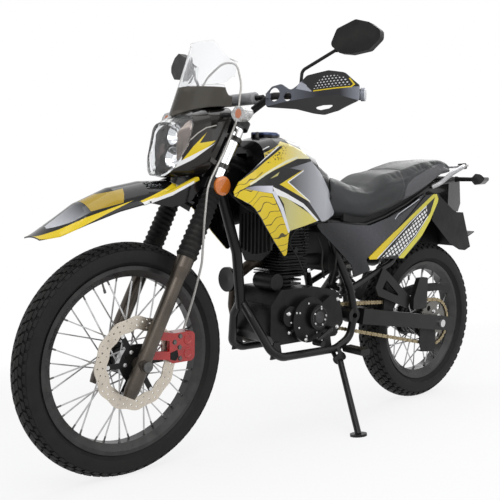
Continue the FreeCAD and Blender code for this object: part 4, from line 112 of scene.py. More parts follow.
class Graph:
    """A small helper that adds nodes to one material."""

    def __init__(self, name):
        self.material = bpy.data.materials.new(name)
        self.material.use_nodes = True
        self.tree = self.material.node_tree
        self.tree.nodes.clear()
        self.output = self.add("ShaderNodeOutputMaterial")
        self.place = self.add("ShaderNodeTexCoord").outputs["Object"]

    def add(self, kind, settings=(), **inputs):
        """A node with its settings and inputs, which are named, or numbered as in i0."""
        node = self.tree.nodes.new(kind)
        for key, value in dict(settings).items():
            setattr(node, key, value)
        for key, value in inputs.items():
            socket = node.inputs[int(key[1:]) if key[1:].isdigit() else key.replace("_", " ")]
            if isinstance(value, bpy.types.NodeSocket):
                self.tree.links.new(value, socket)
            else:
                socket.default_value = value
        return node

    def math(self, operation, first, second=0.0):
        return self.add("ShaderNodeMath", {"operation": operation}, i0=first, i1=second).outputs[0]

    def vector(self, operation, first, second=(0, 0, 0), output=0):
        return self.add("ShaderNodeVectorMath", {"operation": operation}, i0=first, i1=second).outputs[output]

    def noise(self, scale, detail=4.0, rough=0.55):
        return self.add("ShaderNodeTexNoise", Vector=self.place, Scale=scale, Detail=detail,
                        Roughness=rough).outputs["Fac"]

    def cells(self, place, scale, settings=(), **inputs):
        return self.add("ShaderNodeTexVoronoi", settings, Vector=place, Scale=scale,
                        **inputs).outputs["Distance"]

    def ramp(self, value, low, high, start=0.0, end=1.0):
        return self.add("ShaderNodeMapRange", Value=value, i1=low, i2=high, i3=start, i4=end).outputs[0]

    def mix(self, factor, first, second):
        tones = [tone if isinstance(tone, bpy.types.NodeSocket) else tuple(tone) + (1.0,)
                 for tone in (first, second)]
        return self.add("ShaderNodeMix", {"data_type": "RGBA"}, i0=factor, i6=tones[0],
                        i7=tones[1]).outputs[2]

    def blend(self, patches, first, second, low=0.35, high=0.7):
        """One tone turning into another where a noise is high."""
        return self.mix(self.ramp(patches, low, high), first, second)

    def length(self, first, second):
        """How long two square runs are together."""
        squares = [self.math("MULTIPLY", run, run) for run in (first, second)]
        return self.math("SQRT", self.math("ADD", *squares))

    def bump(self, height, strength, distance=0.001):
        return self.add("ShaderNodeBump", Strength=strength, Distance=distance, Height=height).outputs[0]

    def drawing_place(self):
        """The place in the upright drawing, in millimetres."""
        turned = self.add("ShaderNodeVectorRotate", {"rotation_type": "X_AXIS"},
                          Vector=self.vector("SUBTRACT", self.place, (-ORIGIN[0], -ORIGIN[1], LIFT)),
                          Angle=LEAN)
        return self.add("ShaderNodeVectorMath", {"operation": "SCALE"}, i0=turned.outputs[0],
                        i3=1000.0).outputs[0]

    def drawing_parts(self):
        """The drawing's three coordinates, each on its own."""
        return self.add("ShaderNodeSeparateXYZ", Vector=self.drawing_place()).outputs

    def axis_distance(self, centre):
        """How far the surface is from the crosswise axis through a point of the drawing, in metres."""
        axis = TO_ROW.to_3x3() @ LEFTWARD
        away = self.vector("SUBTRACT", self.place, tuple(TO_ROW @ centre))
        across = self.vector("CROSS_PRODUCT", away, tuple(axis.normalized()))
        return self.vector("LENGTH", across, output=1)

    def finish(self, **inputs):
        shader = self.add("ShaderNodeBsdfPrincipled", **inputs)
        self.tree.links.new(shader.outputs[0], self.output.inputs["Surface"])
        return self.material


def surface(name, colour, second, rough, metallic=0.0, mottle=14.0, grain=900.0, relief=0.12, depth=0.0002,
            spread=0.12, dust=0.0, **shader):
    """A general finish: two tones in patches, uneven gloss and a fine grain."""
    graph = Graph(name)
    tone = graph.blend(graph.noise(mottle, 5.0), colour, second, 0.35, 0.68)
    if dust:
        shade = graph.noise(mottle * 0.4, 6.0, 0.7)
        tone = graph.mix(graph.ramp(shade, 0.5, 0.8, 0.0, dust), tone, (0.36, 0.33, 0.29))
    gloss = graph.ramp(graph.noise(mottle * 3.1, 5.0, 0.65), 0.3, 0.7, max(rough - spread / 2, 0.02),
                       rough + spread / 2)
    normal = graph.bump(graph.noise(grain, 3.0), relief, depth)
    return graph.finish(Base_Color=tone, Roughness=gloss, Metallic=metallic, Normal=normal, **shader)


def grey(*levels):
    """Plain greys, each from its level."""
    return tuple((level, level, level) for level in levels)


# Materials

MOULDED = surface("moulded_black", (0.007, 0.007, 0.0075), (0.012, 0.012, 0.012), 0.5, mottle=10, grain=1500,
                  relief=0.4, depth=0.0003, dust=0.05, Specular_IOR_Level=0.18)
FRAME_BLACK = surface("frame_black", *grey(0.004, 0.008), 0.34, mottle=16, grain=500, relief=0.15,
                      spread=0.14, dust=0.02, Specular_IOR_Level=0.25)
ENGINE_BLACK = surface("engine_black", (0.005, 0.005, 0.0055), (0.010, 0.010, 0.0105), 0.34, metallic=0.25,
                       mottle=24, grain=1300, relief=0.5, depth=0.0003, spread=0.16, dust=0.03,
                       Specular_IOR_Level=0.2)
ALLOY = surface("bright_alloy", (0.52, 0.52, 0.53), (0.66, 0.66, 0.65), 0.27, metallic=0.9, mottle=30,
                grain=800, relief=0.1, spread=0.14)
STEEL_DARK = surface("dark_steel", (0.09, 0.09, 0.09), (0.16, 0.155, 0.15), 0.36, metallic=0.85, mottle=40,
                     grain=700, relief=0.2, spread=0.2)
CHROME = surface("chrome", (0.74, 0.75, 0.77), (0.80, 0.81, 0.82), 0.08, metallic=1.0, mottle=12, grain=300,
                 relief=0.03, spread=0.05)
BRONZE = surface("fork_bronze", (0.060, 0.050, 0.042), (0.10, 0.085, 0.07), 0.30, metallic=0.75, mottle=9)
SILVER_PAINT = surface("silver_paint", (0.34, 0.34, 0.35), (0.42, 0.42, 0.43), 0.36, metallic=0.5, mottle=18,
                       grain=1800, spread=0.1)
# Painted highlight: the black bar pad is given a mid grey that stands in for the light on it.
PAD_HIGHLIGHT_GREY = surface("pad_vinyl_painted_highlight", (0.19, 0.19, 0.20), (0.27, 0.27, 0.28), 0.5, mottle=20, relief=0.5,
                   depth=0.0004, spread=0.1, Sheen_Weight=0.2)
RUBBER = surface("rubber", (0.008, 0.008, 0.008), (0.014, 0.014, 0.0135), 0.62, mottle=26, grain=1200,
                 relief=0.4, spread=0.14, dust=0.1, Specular_IOR_Level=0.15)
RED_PAINT = surface("red_paint", (0.30, 0.007, 0.008), (0.40, 0.014, 0.014), 0.28, mottle=20, grain=700,
                    relief=0.15, spread=0.1, Coat_Weight=0.4)
MIRROR_GLASS = surface("mirror_glass", (0.72, 0.75, 0.78), (0.76, 0.78, 0.80), 0.03, metallic=1.0, mottle=8,
                       grain=60, relief=0.01, spread=0.02)
CHAIN_STEEL = surface("chain_steel", (0.28, 0.22, 0.12), (0.40, 0.33, 0.20), 0.38, metallic=0.8, mottle=60,
                      grain=400, relief=0.3, spread=0.2)
COVER_GREY = surface("cover_grey", (0.030, 0.030, 0.032), (0.055, 0.055, 0.058), 0.3, metallic=0.6, mottle=30,
                     relief=0.3, spread=0.14)
CAP_BLUE = surface("cap_blue", (0.030, 0.045, 0.10), (0.055, 0.075, 0.15), 0.2, metallic=0.6, mottle=20,
                   grain=500, relief=0.1, spread=0.1)
BRAID = surface("hose_braid", (0.26, 0.25, 0.24), (0.44, 0.43, 0.41), 0.36, metallic=0.5, mottle=300,
                grain=2200, relief=0.4, spread=0.1)
SMOKED = surface("smoked_lens", (0.030, 0.028, 0.028), (0.044, 0.042, 0.042), 0.2, mottle=20, grain=300,
                 relief=0.08, spread=0.06, Coat_Weight=0.5)
LAMP_WHITE = surface("lamp_white", (0.86, 0.87, 0.90), (0.95, 0.95, 0.96), 0.12, mottle=40, grain=200,
                     relief=0.1, spread=0.03, Emission_Color=(1.0, 1.0, 1.0, 1.0), Emission_Strength=0.35)
LAMP_BACK = surface("lamp_back", (0.10, 0.085, 0.075), (0.24, 0.20, 0.18), 0.22, metallic=0.7, mottle=14,
                    grain=300, relief=0.1, spread=0.1)
DIAL_GLASS = surface("dial_glass", (0.012, 0.016, 0.022), (0.020, 0.026, 0.034), 0.08, mottle=12, grain=60,
                     relief=0.02, spread=0.03, Coat_Weight=0.8)


def ground_steel(name, centre, colour, second):
    """Steel ground in rings about a wheel's axle."""
    graph = Graph(name)
    reach = graph.math("MULTIPLY", graph.axis_distance(centre), 900.0)
    rings = graph.add("ShaderNodeTexNoise", {"noise_dimensions": "1D"}, W=reach, Scale=1.0,
                      Detail=3.0).outputs["Fac"]
    stain = graph.ramp(graph.noise(18.0), 0.5, 0.8, 0.0, 0.35)
    tone = graph.mix(stain, graph.blend(rings, colour, second), (0.20, 0.17, 0.13))
    return graph.finish(Base_Color=tone, Metallic=0.85, Roughness=graph.ramp(rings, 0.3, 0.7, 0.24, 0.40),
                        Normal=graph.bump(rings, 0.15, 0.0002))


def wheel_finish(name, centre, hub, rim):
    """Black hub and rim with bright spokes between them, told apart by the distance from the axle."""
    graph = Graph(name)
    reach = graph.axis_distance(centre)
    wire = graph.math("MULTIPLY", graph.math("GREATER_THAN", reach, hub), graph.math("LESS_THAN", reach, rim))
    grime = graph.noise(30.0, 5.0)
    dark = graph.blend(grime, (0.012, 0.012, 0.012), (0.030, 0.029, 0.028))
    bright = graph.blend(grime, (0.40, 0.40, 0.41), (0.58, 0.58, 0.58))
    return graph.finish(Base_Color=graph.mix(wire, dark, bright), Metallic=graph.ramp(wire, 0, 1, 0.2, 0.9),
                        Roughness=graph.ramp(grime, 0.3, 0.7, 0.24, 0.42),
                        Normal=graph.bump(graph.noise(900.0), 0.12, 0.0002))


def tyre_finish(name, centre, radius):
    """Black rubber, a little greyer and rougher where it meets the road."""
    graph = Graph(name)
    worn = graph.ramp(graph.axis_distance(centre), radius - 0.012, radius)
    patches = graph.noise(22.0, 6.0, 0.65)
    side = graph.blend(patches, (0.008, 0.008, 0.008), (0.015, 0.015, 0.0145))
    road = graph.blend(patches, (0.017, 0.017, 0.0165), (0.030, 0.0295, 0.028))
    return graph.finish(Base_Color=graph.mix(worn, side, road),
                        Roughness=graph.ramp(patches, 0.3, 0.7, 0.52, 0.72),
                        Normal=graph.bump(graph.noise(1400.0, 2.0), 0.35, 0.0003), Specular_IOR_Level=0.18)


def glass_finish(name, colour, milky, dark=None, seam=0.0):
    """Clear plastic with a faint haze, smoked below a height of the drawing when a dark tone is given."""
    graph = Graph(name)
    scratches = graph.noise(260.0, 5.0, 0.7)
    tone = graph.blend(scratches, colour, tuple(part * 0.96 for part in colour), 0.4, 0.8)
    clear = graph.ramp(scratches, 0.3, 0.8, 1.0 - milky, 0.98 - milky)
    if dark:
        low = graph.math("LESS_THAN", graph.drawing_parts()[2], seam)
        tone = graph.mix(low, tone, dark)
        clear = graph.math("SUBTRACT", clear, graph.math("MULTIPLY", low, 0.42))
    return graph.finish(Base_Color=tone, Roughness=graph.ramp(scratches, 0.3, 0.8, 0.02, 0.08),
                        Transmission_Weight=clear, IOR=1.12,
                        Normal=graph.bump(graph.noise(9.0, 2.0), 0.04, 0.001))


def heat_finish():
    """Satin black pipe, browned by heat near the engine."""
    graph = Graph("pipe_black")
    near = graph.ramp(graph.drawing_parts()[0], 760.0, 930.0, 0.0, 0.8)
    patches = graph.noise(16.0, 6.0, 0.7)
    cold = graph.blend(patches, (0.014, 0.014, 0.014), (0.028, 0.027, 0.026))
    hot = graph.blend(patches, (0.050, 0.036, 0.025), (0.085, 0.06, 0.04))
    return graph.finish(Base_Color=graph.mix(near, cold, hot), Metallic=0.5,
                        Roughness=graph.ramp(patches, 0.3, 0.7, 0.36, 0.56),
                        Normal=graph.bump(graph.noise(700.0), 0.25, 0.0003), Specular_IOR_Level=0.25)


def lamp_finish():
    """Front turn lamps: a clear leaf over an orange bulb on a black stem, the leaf's bowl in painted
    reflections of dark grey and near white, and round orange reflectors.
    """
    graph = Graph("turn_lamps")
    parts = graph.drawing_parts()
    side = graph.math("ABSOLUTE", parts[1])
    ribs = graph.math("SINE", graph.math("MULTIPLY", side, 1.6))
    reach = graph.length(graph.math("SUBTRACT", side, 181.0), graph.math("SUBTRACT", parts[2], 1070.0))
    # Painted reflections: patches of dark grey and near white on the clear leaf.
    bowl_reflections = graph.blend(graph.noise(240.0, 3.0, 0.8), (0.16, 0.15, 0.14), (0.78, 0.78, 0.78), 0.35, 0.62)
    tone = graph.mix(graph.ramp(reach, 12.0, 16.0), (0.62, 0.17, 0.05), bowl_reflections)
    tone = graph.mix(graph.math("LESS_THAN", side, 143.0), tone, (0.012, 0.012, 0.012))
    web = graph.ramp(graph.cells(graph.place, 330.0), 0.2, 0.7)
    amber = graph.mix(web, (0.40, 0.10, 0.014), (0.62, 0.17, 0.024))
    tone = graph.mix(graph.math("LESS_THAN", parts[2], 960.0), tone, amber)
    return graph.finish(Base_Color=tone, Roughness=graph.ramp(web, 0.0, 1.0, 0.08, 0.16),
                        Normal=graph.bump(ribs, 0.1, 0.0006), Coat_Weight=0.6)


def grip_finish():
    """Black rubber with rings round the grips."""
    graph = Graph("bar_controls_finish")
    side = graph.math("ABSOLUTE", graph.drawing_parts()[1])
    rings = graph.math("MULTIPLY", graph.math("SINE", graph.math("MULTIPLY", side, 1.25)),
                       graph.math("GREATER_THAN", side, 318.0))
    fine = graph.noise(900.0)
    tone = graph.blend(graph.noise(14.0), *grey(0.010, 0.020), 0.3, 0.7)
    return graph.finish(Base_Color=tone, Roughness=graph.ramp(fine, 0.3, 0.7, 0.42, 0.6),
                        Normal=graph.bump(graph.math("ADD", rings, graph.math("MULTIPLY", fine, 0.2)), 0.8,
                                          0.0012),
                        Specular_IOR_Level=0.2)


DISC_STEEL = ground_steel("disc_steel", FRONT_AXLE, (0.50, 0.45, 0.38), (0.66, 0.60, 0.52))
SPROCKET_STEEL = ground_steel("sprocket_steel", REAR_AXLE, (0.12, 0.115, 0.11), (0.22, 0.21, 0.19))
FRONT_RUBBER = tyre_finish("front_tyre_rubber", FRONT_AXLE, FRONT_RADIUS / 1000)
REAR_RUBBER = tyre_finish("rear_tyre_rubber", REAR_AXLE, REAR_RADIUS / 1000)

for finish, names in (
        (FRAME_BLACK, ("main_frame", "swingarm", "side_stand", "triple_clamps", "handlebar",
                       "foot_controls", "horn", "footpegs")),
        (ENGINE_BLACK, ("engine_crankcase", "engine_cylinder")),
        (MOULDED, ("intake", "rear_fender", "chain_guard", "mirrors", "instruments")),
        (heat_finish(), ("exhaust_pipe", "muffler")),
        (ALLOY, ("rear_axle",)),
        (STEEL_DARK, ("rear_shock", "front_axle")),
        (SILVER_PAINT, ("luggage_rack",)),
        (CHAIN_STEEL, ("drive_chain",)),
        (CHROME, ("fork_tubes",)),
        (RUBBER, ("fork_gaiters",)),
        (BRONZE, ("fork_lowers",)),
        (PAD_HIGHLIGHT_GREY, ("bar_pad",)),
        (RED_PAINT, ("brake_caliper",)),
        (DISC_STEEL, ("front_disc",)),
        (SPROCKET_STEEL, ("rear_sprocket",)),
        (wheel_finish("front_wheel_finish", FRONT_AXLE, 0.049, 0.2455), ("front_wheel",)),
        (wheel_finish("rear_wheel_finish", REAR_AXLE, 0.077, 0.2085), ("rear_wheel",)),
        (FRONT_RUBBER, ("front_tyre",)),
        (REAR_RUBBER, ("rear_tyre",)),
        (glass_finish("screen_clear", (0.93, 0.935, 0.945), 0.10, (0.13, 0.12, 0.105), 1154.0),
         ("windscreen",)),
        (glass_finish("lens_clear", (0.93, 0.94, 0.95), 0.03), ("headlight_lens",)),
        (lamp_finish(), ("front_indicators",)),
        (grip_finish(), ("bar_controls",)),
        (BRAID, ("brake_hose",)),
        (SMOKED, ("rear_lamps",)),
        (CAP_BLUE, ("fuel_cap",))):
    dress(names, finish)


# Painted panels: flat shapes in the side or front view, laid over the panels by their own material

BLACK_TONE = (0.003, 0.003, 0.0035)
BLACK_SECOND = (0.006, 0.006, 0.0065)
SLATE = (0.045, 0.047, 0.052)
SILVER_TONE = (0.50, 0.51, 0.55)
WHITE_TONE = (0.80, 0.80, 0.80)
YELLOW_TONE = (0.70, 0.52, 0.020)
YELLOW_DEEP = (0.60, 0.44, 0.012)
MUSTARD = (0.36, 0.24, 0.012)
CREAM = (0.80, 0.76, 0.48)
OLIVE = (0.46, 0.42, 0.16)
SOFT_EDGE = 0.6
# How far a face must look outward before it is painted
OUTER = 0.05
TANK_OUTER = 0.45


def pairs_round(points):
    """Each point of a closed outline with the next."""
    return zip(points, points[1:] + points[:1])


class Paint(Graph):
    """A finish built up from flat shapes over a ground."""

    def __init__(self, name, ground=BLACK_TONE, second=BLACK_SECOND, view="side", outer=None):
        super().__init__(name)
        self.parts = self.drawing_parts()
        normal = self.add("ShaderNodeTexCoord").outputs["Normal"]
        facing = self.add("ShaderNodeSeparateXYZ", Vector=normal).outputs
        leftward = self.math("MULTIPLY", facing[1], self.math("SIGN", self.parts[1]))
        self.seen = self.math("GREATER_THAN", leftward, outer) if outer is not None else None
        self.across = self.parts[0] if view == "side" else self.math("ABSOLUTE", self.parts[1])
        self.height = self.parts[2]
        self.flat = self.add("ShaderNodeCombineXYZ", X=self.across, Y=self.height, Z=0.0).outputs[0]
        self.tone = self.blend(self.noise(6.0), ground, second)

    def run(self, along):
        """How far a point lies along a direction of the view."""
        return self.vector("DOT_PRODUCT", self.flat, (along[0], along[1], 0.0), 1)

    def edge(self, start, end):
        """How far a point lies to the left of the line from start to end."""
        along = (end - start).normalized()
        left = Vector((-along.y, along.x))
        return self.math("SUBTRACT", self.run(left), left.dot(start))

    def inside(self, outline):
        """A mask of an outline, which may be hollow, with a soft edge."""
        points = [Vector(point) for point in outline]
        turns = [(b - a).cross(c - b) for a, b, c in zip(points, points[1:] + points[:1],
                                                         points[2:] + points[:2])]
        triangles = [points]
        if min(turns) < 0 < max(turns):
            triangles = [[points[index] for index in corners]
                         for corners in tessellate_polygon([[point.to_3d() for point in points]])]
        depth = None
        for corners in triangles:
            if sum(a.cross(b) for a, b in pairs_round(corners)) < 0:
                corners = corners[::-1]
            reach = None
            for start, end in pairs_round(corners):
                side = self.edge(start, end)
                reach = side if reach is None else self.math("MINIMUM", reach, side)
            depth = reach if depth is None else self.math("MAXIMUM", depth, reach)
        return self.ramp(depth, -SOFT_EDGE, 0.0)

    def stroke(self, points, width):
        """A mask of a line of even width through some points."""
        nearest = None
        for start, end in zip(points, points[1:]):
            start, end = Vector(start), Vector(end)
            along = (end - start).normalized()
            off = self.math("SUBTRACT", self.run(along), along.dot(start + end) / 2)
            past = self.math("SUBTRACT", self.math("ABSOLUTE", off), (end - start).length / 2)
            reach = self.math("MAXIMUM", self.math("ABSOLUTE", self.edge(start, end)), past)
            nearest = reach if nearest is None else self.math("MINIMUM", nearest, reach)
        return self.ramp(nearest, (width + SOFT_EDGE) / 2, (width - SOFT_EDGE) / 2)

    def both(self, first, second):
        return self.math("MULTIPLY", first, second)

    def lay(self, mask, colour):
        self.tone = self.mix(self.both(mask, self.seen) if self.seen else mask, self.tone, colour)

    def fill(self, outline, colour):
        self.lay(self.inside(outline), colour)

    def line(self, points, width, colour):
        self.lay(self.stroke(points, width), colour)

    def fade(self, start, end, low=0.0, high=1.0):
        """A share that grows along the line from start to end."""
        start, end = Vector(start), Vector(end)
        along = (end - start).normalized()
        return self.ramp(self.run(along), along.dot(start), along.dot(end), low, high)

    def turning(self, start, end, first, second):
        """A tone that turns into another along the line from start to end."""
        return self.mix(self.fade(start, end), first, second)

    def gloss(self, rough=0.16, **shader):
        return self.finish(Base_Color=self.tone, Coat_Weight=0.25, Coat_Roughness=0.05,
                           Specular_IOR_Level=0.2, Roughness=self.ramp(self.noise(60.0, 3.0), 0.3, 0.7,
                                                                       rough - 0.03, rough + 0.04),
                           Normal=self.bump(self.noise(5.0, 2.0), 0.06, 0.0008), **shader)


def tank_paint(name, outer):
    """The black tank's side: a yellow band over a silver field with a chevron."""
    paint = Paint(name, outer=outer)
    tone = paint.turning((900, 868), (690, 880), SLATE, SILVER_TONE)
    tone = paint.turning((760, 820), (640, 760), tone, (0.30, 0.31, 0.34))
    paint.fill([(884, 918), (764, 946), (700, 900), (560, 764), (710, 744), (789, 808), (898, 872),
                (819, 911)],
               tone)
    paint.fill([(823, 914), (934, 866), (784, 809), (898, 874)],
               paint.turning((850, 870), (780, 812), YELLOW_TONE, CREAM))
    paint.line([(821, 911), (896, 874), (788, 812)], 3.6, WHITE_TONE)
    paint.fill([(975, 884), (960, 892), (936, 904), (944, 893)], OLIVE)
    paint.fill([(1142, 830), (1111, 872), (1046, 908), (915, 980), (880, 1004), (780, 972), (782, 952),
                (846, 949), (964, 908), (1073, 861)], paint.turning((930, 950), (800, 962), YELLOW_TONE,
                                                                    CREAM))
    paint.line([(1066, 866), (964, 912), (900, 938), (846, 953)], 7.0, (0.74, 0.72, 0.52))
    specks = paint.both(paint.math("LESS_THAN", paint.cells(paint.flat, 0.13, Randomness=0.75), 0.36),
                        paint.fade((905, 945), (925, 965)))
    zone = paint.inside([(1000, 925), (905, 985), (850, 1000), (812, 968), (905, 944)])
    paint.lay(paint.both(paint.both(specks, zone), paint.fade((820, 970), (900, 960))), BLACK_TONE)
    paint.line([(1062, 909), (925, 986)], 2.6, WHITE_TONE)
    return paint


def contour_lines(paint, zone):
    """Plain thin waves over a yellow zone."""
    warp = paint.add("ShaderNodeTexNoise", Vector=paint.flat, Scale=0.012, Detail=1.0).outputs["Fac"]
    level = paint.math("ADD", paint.math("MULTIPLY", paint.run((0.42, 0.90)), 0.036),
                       paint.math("MULTIPLY", warp, 3.4))
    share = paint.math("ABSOLUTE", paint.math("SUBTRACT", paint.math("FRACT", level), 0.5))
    paint.lay(paint.both(paint.math("LESS_THAN", share, 0.045), zone), (0.07, 0.055, 0.012))


def shroud_finish():
    """The tank's bands, carried on to the shroud's yellow point and its pale rear field."""
    paint = tank_paint("shroud_paint", OUTER)
    paint.fill([(1087, 854), (1043, 860), (966, 861), (966, 838), (1083, 850)],
               paint.turning((1080, 850), (975, 850), (0.20, 0.20, 0.24), (0.66, 0.66, 0.74)))
    lower = paint.inside([(1150, 826), (1088, 850), (969, 837), (881, 712), (862, 590), (1160, 590)])
    paint.lay(lower, paint.turning((1000, 800), (900, 640), YELLOW_TONE, YELLOW_DEEP))
    contour_lines(paint, paint.both(lower, paint.fade((1100, 700), (1098, 702))))
    contour_lines(paint, paint.inside([(1142, 830), (1111, 872), (1046, 908), (1000, 900), (1073, 861)]))
    tone = paint.turning((900, 760), (740, 750), (0.50, 0.47, 0.22), (0.68, 0.58, 0.10))
    # Painted shade: the pale field turns darker olive at its front end.
    paint.fill([(950, 845), (725, 744), (700, 728), (878, 700), (914, 805)],
               paint.turning((925, 800), (885, 790), OLIVE, tone))
    paint.fill([(966, 858), (904, 838), (822, 806), (724, 744), (732, 742), (822, 794), (904, 824),
                (955, 834)],
               WHITE_TONE)
    paint.fill([(970, 842), (931, 790), (885, 712), (878, 716), (915, 792), (956, 846)], (0.66, 0.67, 0.72))
    return paint.gloss()


def cowl_finish():
    """Black with a yellow barb, a white sweep under it and a thin line above."""
    paint = Paint("cowl_paint", (0.010, 0.009, 0.008), (0.018, 0.015, 0.012), outer=OUTER)
    paint.fill([(1249, 931), (1219, 972), (1178, 1013), (1199, 983), (1146, 993), (1199, 953)], YELLOW_TONE)
    paint.fill([(1268, 908), (1250, 947), (1252, 930), (1150, 984), (1216, 936)], WHITE_TONE)
    paint.line([(1228, 991), (1203, 1013), (1176, 1030), (1142, 1039)], 3.0, (0.42, 0.40, 0.37))
    return paint.gloss()


def fender_finish():
    """Black with a yellow lower edge, a mustard block, a silver tip and yellow and white on the wing."""
    paint = Paint("fender_paint", outer=OUTER)
    paint.fill([(1392, 812), (1290, 850), (1190, 894), (1190, 876), (1290, 833), (1380, 804)], YELLOW_TONE)
    paint.fill([(1386, 808), (1290, 838), (1212, 872), (1212, 865), (1290, 829), (1380, 801)], WHITE_TONE)
    paint.fill([(1655, 738), (1615, 782), (1556, 814), (1545, 782), (1600, 756)],
               paint.turning((1640, 750), (1560, 806), SILVER_TONE, SLATE))
    paint.fill([(1553, 818), (1430, 846), (1446, 808), (1543, 784)], MUSTARD)
    paint.fill([(1700, 712), (1640, 735), (1560, 768), (1460, 800), (1420, 812), (1500, 778), (1600, 733),
                (1660, 712)], YELLOW_TONE)
    return paint.gloss()


def tail_finish():
    """A yellow loop round a field of white squares, edged in white."""
    paint = Paint("tail_paint", outer=OUTER)
    paint.fill([(475, 596), (341, 680), (207, 760), (73, 838), (45, 845), (60, 828), (218, 737), (330, 661),
                (415, 596)], paint.turning((400, 640), (150, 790), YELLOW_TONE, (0.55, 0.50, 0.06)))
    paint.fill([(52, 842), (30, 805), (60, 770), (140, 682), (262, 592), (284, 602), (181, 677), (91, 767),
                (62, 824)], (0.62, 0.56, 0.07))
    paint.line([(404, 604), (330, 655), (218, 731), (118, 792)], 3.4, WHITE_TONE)
    paint.line([(284, 607), (184, 681), (108, 752)], 3.4, WHITE_TONE)
    squares = [paint.math("LESS_THAN", paint.math("FRACT", paint.math("DIVIDE", paint.run(along), pitch)),
                          share)
               for along, pitch, share in (((-0.825, 0.566), 17.0, 0.66), ((0.45, 0.893), 14.5, 0.68))]
    zone = paint.inside([(384, 604), (250, 696), (147, 768), (116, 788), (112, 762), (186, 687), (284, 612)])
    paint.lay(paint.both(paint.both(*squares), zone), WHITE_TONE)
    return paint.gloss(0.2)


def side_cover_finish():
    """Dark grey, paler in two places where highlights are painted, with a black sliver, the painted shade of
    a slot, edged in silver.
    """
    paint = Paint("side_cover_paint_with_painted_light", (0.010, 0.0105, 0.012), (0.018, 0.0185, 0.021))
    # Painted highlights: two fades to a paler grey stand in for light falling on the metallic cover.
    paint.lay(paint.fade((560, 640), (470, 740), 0.0, 0.55), (0.10, 0.10, 0.115))
    paint.lay(paint.fade((420, 660), (330, 720), 0.0, 0.7), (0.030, 0.031, 0.034))
    # Painted shade: this black sliver stands for the shadowed slot in the cover, edged by the silver line
    # below.
    paint.fill([(300, 748), (282, 772), (212, 806), (150, 832), (170, 806), (236, 776)], BLACK_TONE)
    paint.line([(306, 746), (286, 764), (208, 797), (158, 819)], 3.2, SILVER_TONE)
    return paint.gloss(0.26, Metallic=0.2)


def guard_finish():
    """The hand guards in the front view: a slate bracket with painted highlights, a black blade with small
    holes, a yellow edge.
    """
    paint = Paint("guard_paint_with_highlights", (0.012, 0.012, 0.013), (0.020, 0.020, 0.021), "front")
    tone = paint.turning((260, 1130), (330, 1132), (0.10, 0.106, 0.13), (0.014, 0.014, 0.018))
    # Painted highlight: the bracket turns paler toward its outer end.
    tone = paint.turning((385, 1130), (424, 1132), tone, (0.22, 0.23, 0.27))
    paint.fill([(150, 1096), (150, 1180), (240, 1180), (268, 1150), (276, 1180), (312, 1139), (410, 1151),
                (430, 1152), (430, 1110), (380, 1128), (312, 1122), (240, 1112)], tone)
    # Painted highlight: a small pale patch on the bracket.
    paint.fill([(280, 1168), (268, 1148), (311, 1138), (312, 1148)], (0.36, 0.37, 0.42))
    paint.fill([(288, 1176), (309, 1205), (440, 1205), (440, 1160), (413, 1153), (312, 1141), (300, 1152)],
               (0.012, 0.012, 0.012))
    paint.line([(318, 1140), (407, 1151), (413, 1158), (404, 1174)], 3.2, YELLOW_TONE)
    row = paint.math("ADD", paint.math("DIVIDE", paint.height, 7.6),
                     paint.math("DIVIDE", paint.across, -60.0))
    shift = paint.math("MULTIPLY", paint.math("FLOOR", row), 0.5)
    place = paint.math("ADD", paint.math("DIVIDE", paint.across, 8.4), shift)
    reach = paint.length(*[paint.math("SUBTRACT", paint.math("FRACT", share), 0.5) for share in (place, row)])
    zone = paint.inside([(316, 1146), (318, 1158), (345, 1182), (376, 1184), (396, 1176), (404, 1157)])
    paint.lay(paint.both(paint.math("LESS_THAN", reach, 0.24), zone), (0.62, 0.62, 0.64))
    return paint.gloss(0.3)


def seat_finish():
    """Seat vinyl with a fine grain, paler on the sides of the tail."""
    paint = Paint("seat_paint", (0.016, 0.017, 0.018), (0.026, 0.027, 0.029))
    side = paint.inside([(262, 800), (262, 852), (248, 874), (203, 900), (120, 930), (30, 958), (-20, 956),
                         (-60, 930), (-60, 880), (200, 790)])
    outside = paint.ramp(paint.math("ABSOLUTE", paint.parts[1]), 74.0, 76.0)
    paint.lay(paint.both(side, outside), (0.075, 0.075, 0.082))
    cells = paint.cells(paint.place, 420.0, {"feature": "DISTANCE_TO_EDGE"})
    grain = paint.math("ADD", paint.math("MINIMUM", cells, 0.14),
                       paint.math("MULTIPLY", paint.noise(40.0), 0.2))
    return paint.finish(Base_Color=paint.tone, Roughness=paint.ramp(paint.noise(9.0, 5.0, 0.6), 0.3, 0.7,
                                                                    0.40, 0.56),
                        Normal=paint.bump(grain, 0.4, 0.0005), Sheen_Weight=0.05, Sheen_Roughness=0.4,
                        Specular_IOR_Level=0.3)


SEAT_VINYL = seat_finish()
dress(["fuel_tank"], tank_paint("tank_paint", TANK_OUTER).gloss())
dress(["tank_shrouds"], shroud_finish())
dress(["headlight_cowl"], cowl_finish())
dress(["front_fender"], fender_finish())
dress(["tail_panels"], tail_finish())
dress(["side_covers"], side_cover_finish())
dress(["handguards"], guard_finish())
dress(["seat"], SEAT_VINYL)


# Mesh helpers, all in the upright drawing's millimetres

PLATE_EDGE = 0.3
FILM_CELL = 12.0
FILM_REACH = 1800.0
FILM_LIFT = 0.6
FILM_THICKNESS = 0.7


def unit(vector):
    return Vector(vector).normalized()


def square_to(axis):
    """Two directions square to an axis and to each other."""
    axis = unit(axis)
    other = UPWARD if abs(axis.z) < 0.9 else LEFTWARD
    first = axis.cross(other).normalized()
    return first, axis.cross(first).normalized()


def smooth_shaded(mesh, angle):
    mesh.shade_smooth()
    mesh.set_sharp_from_angle(angle=math.radians(angle))


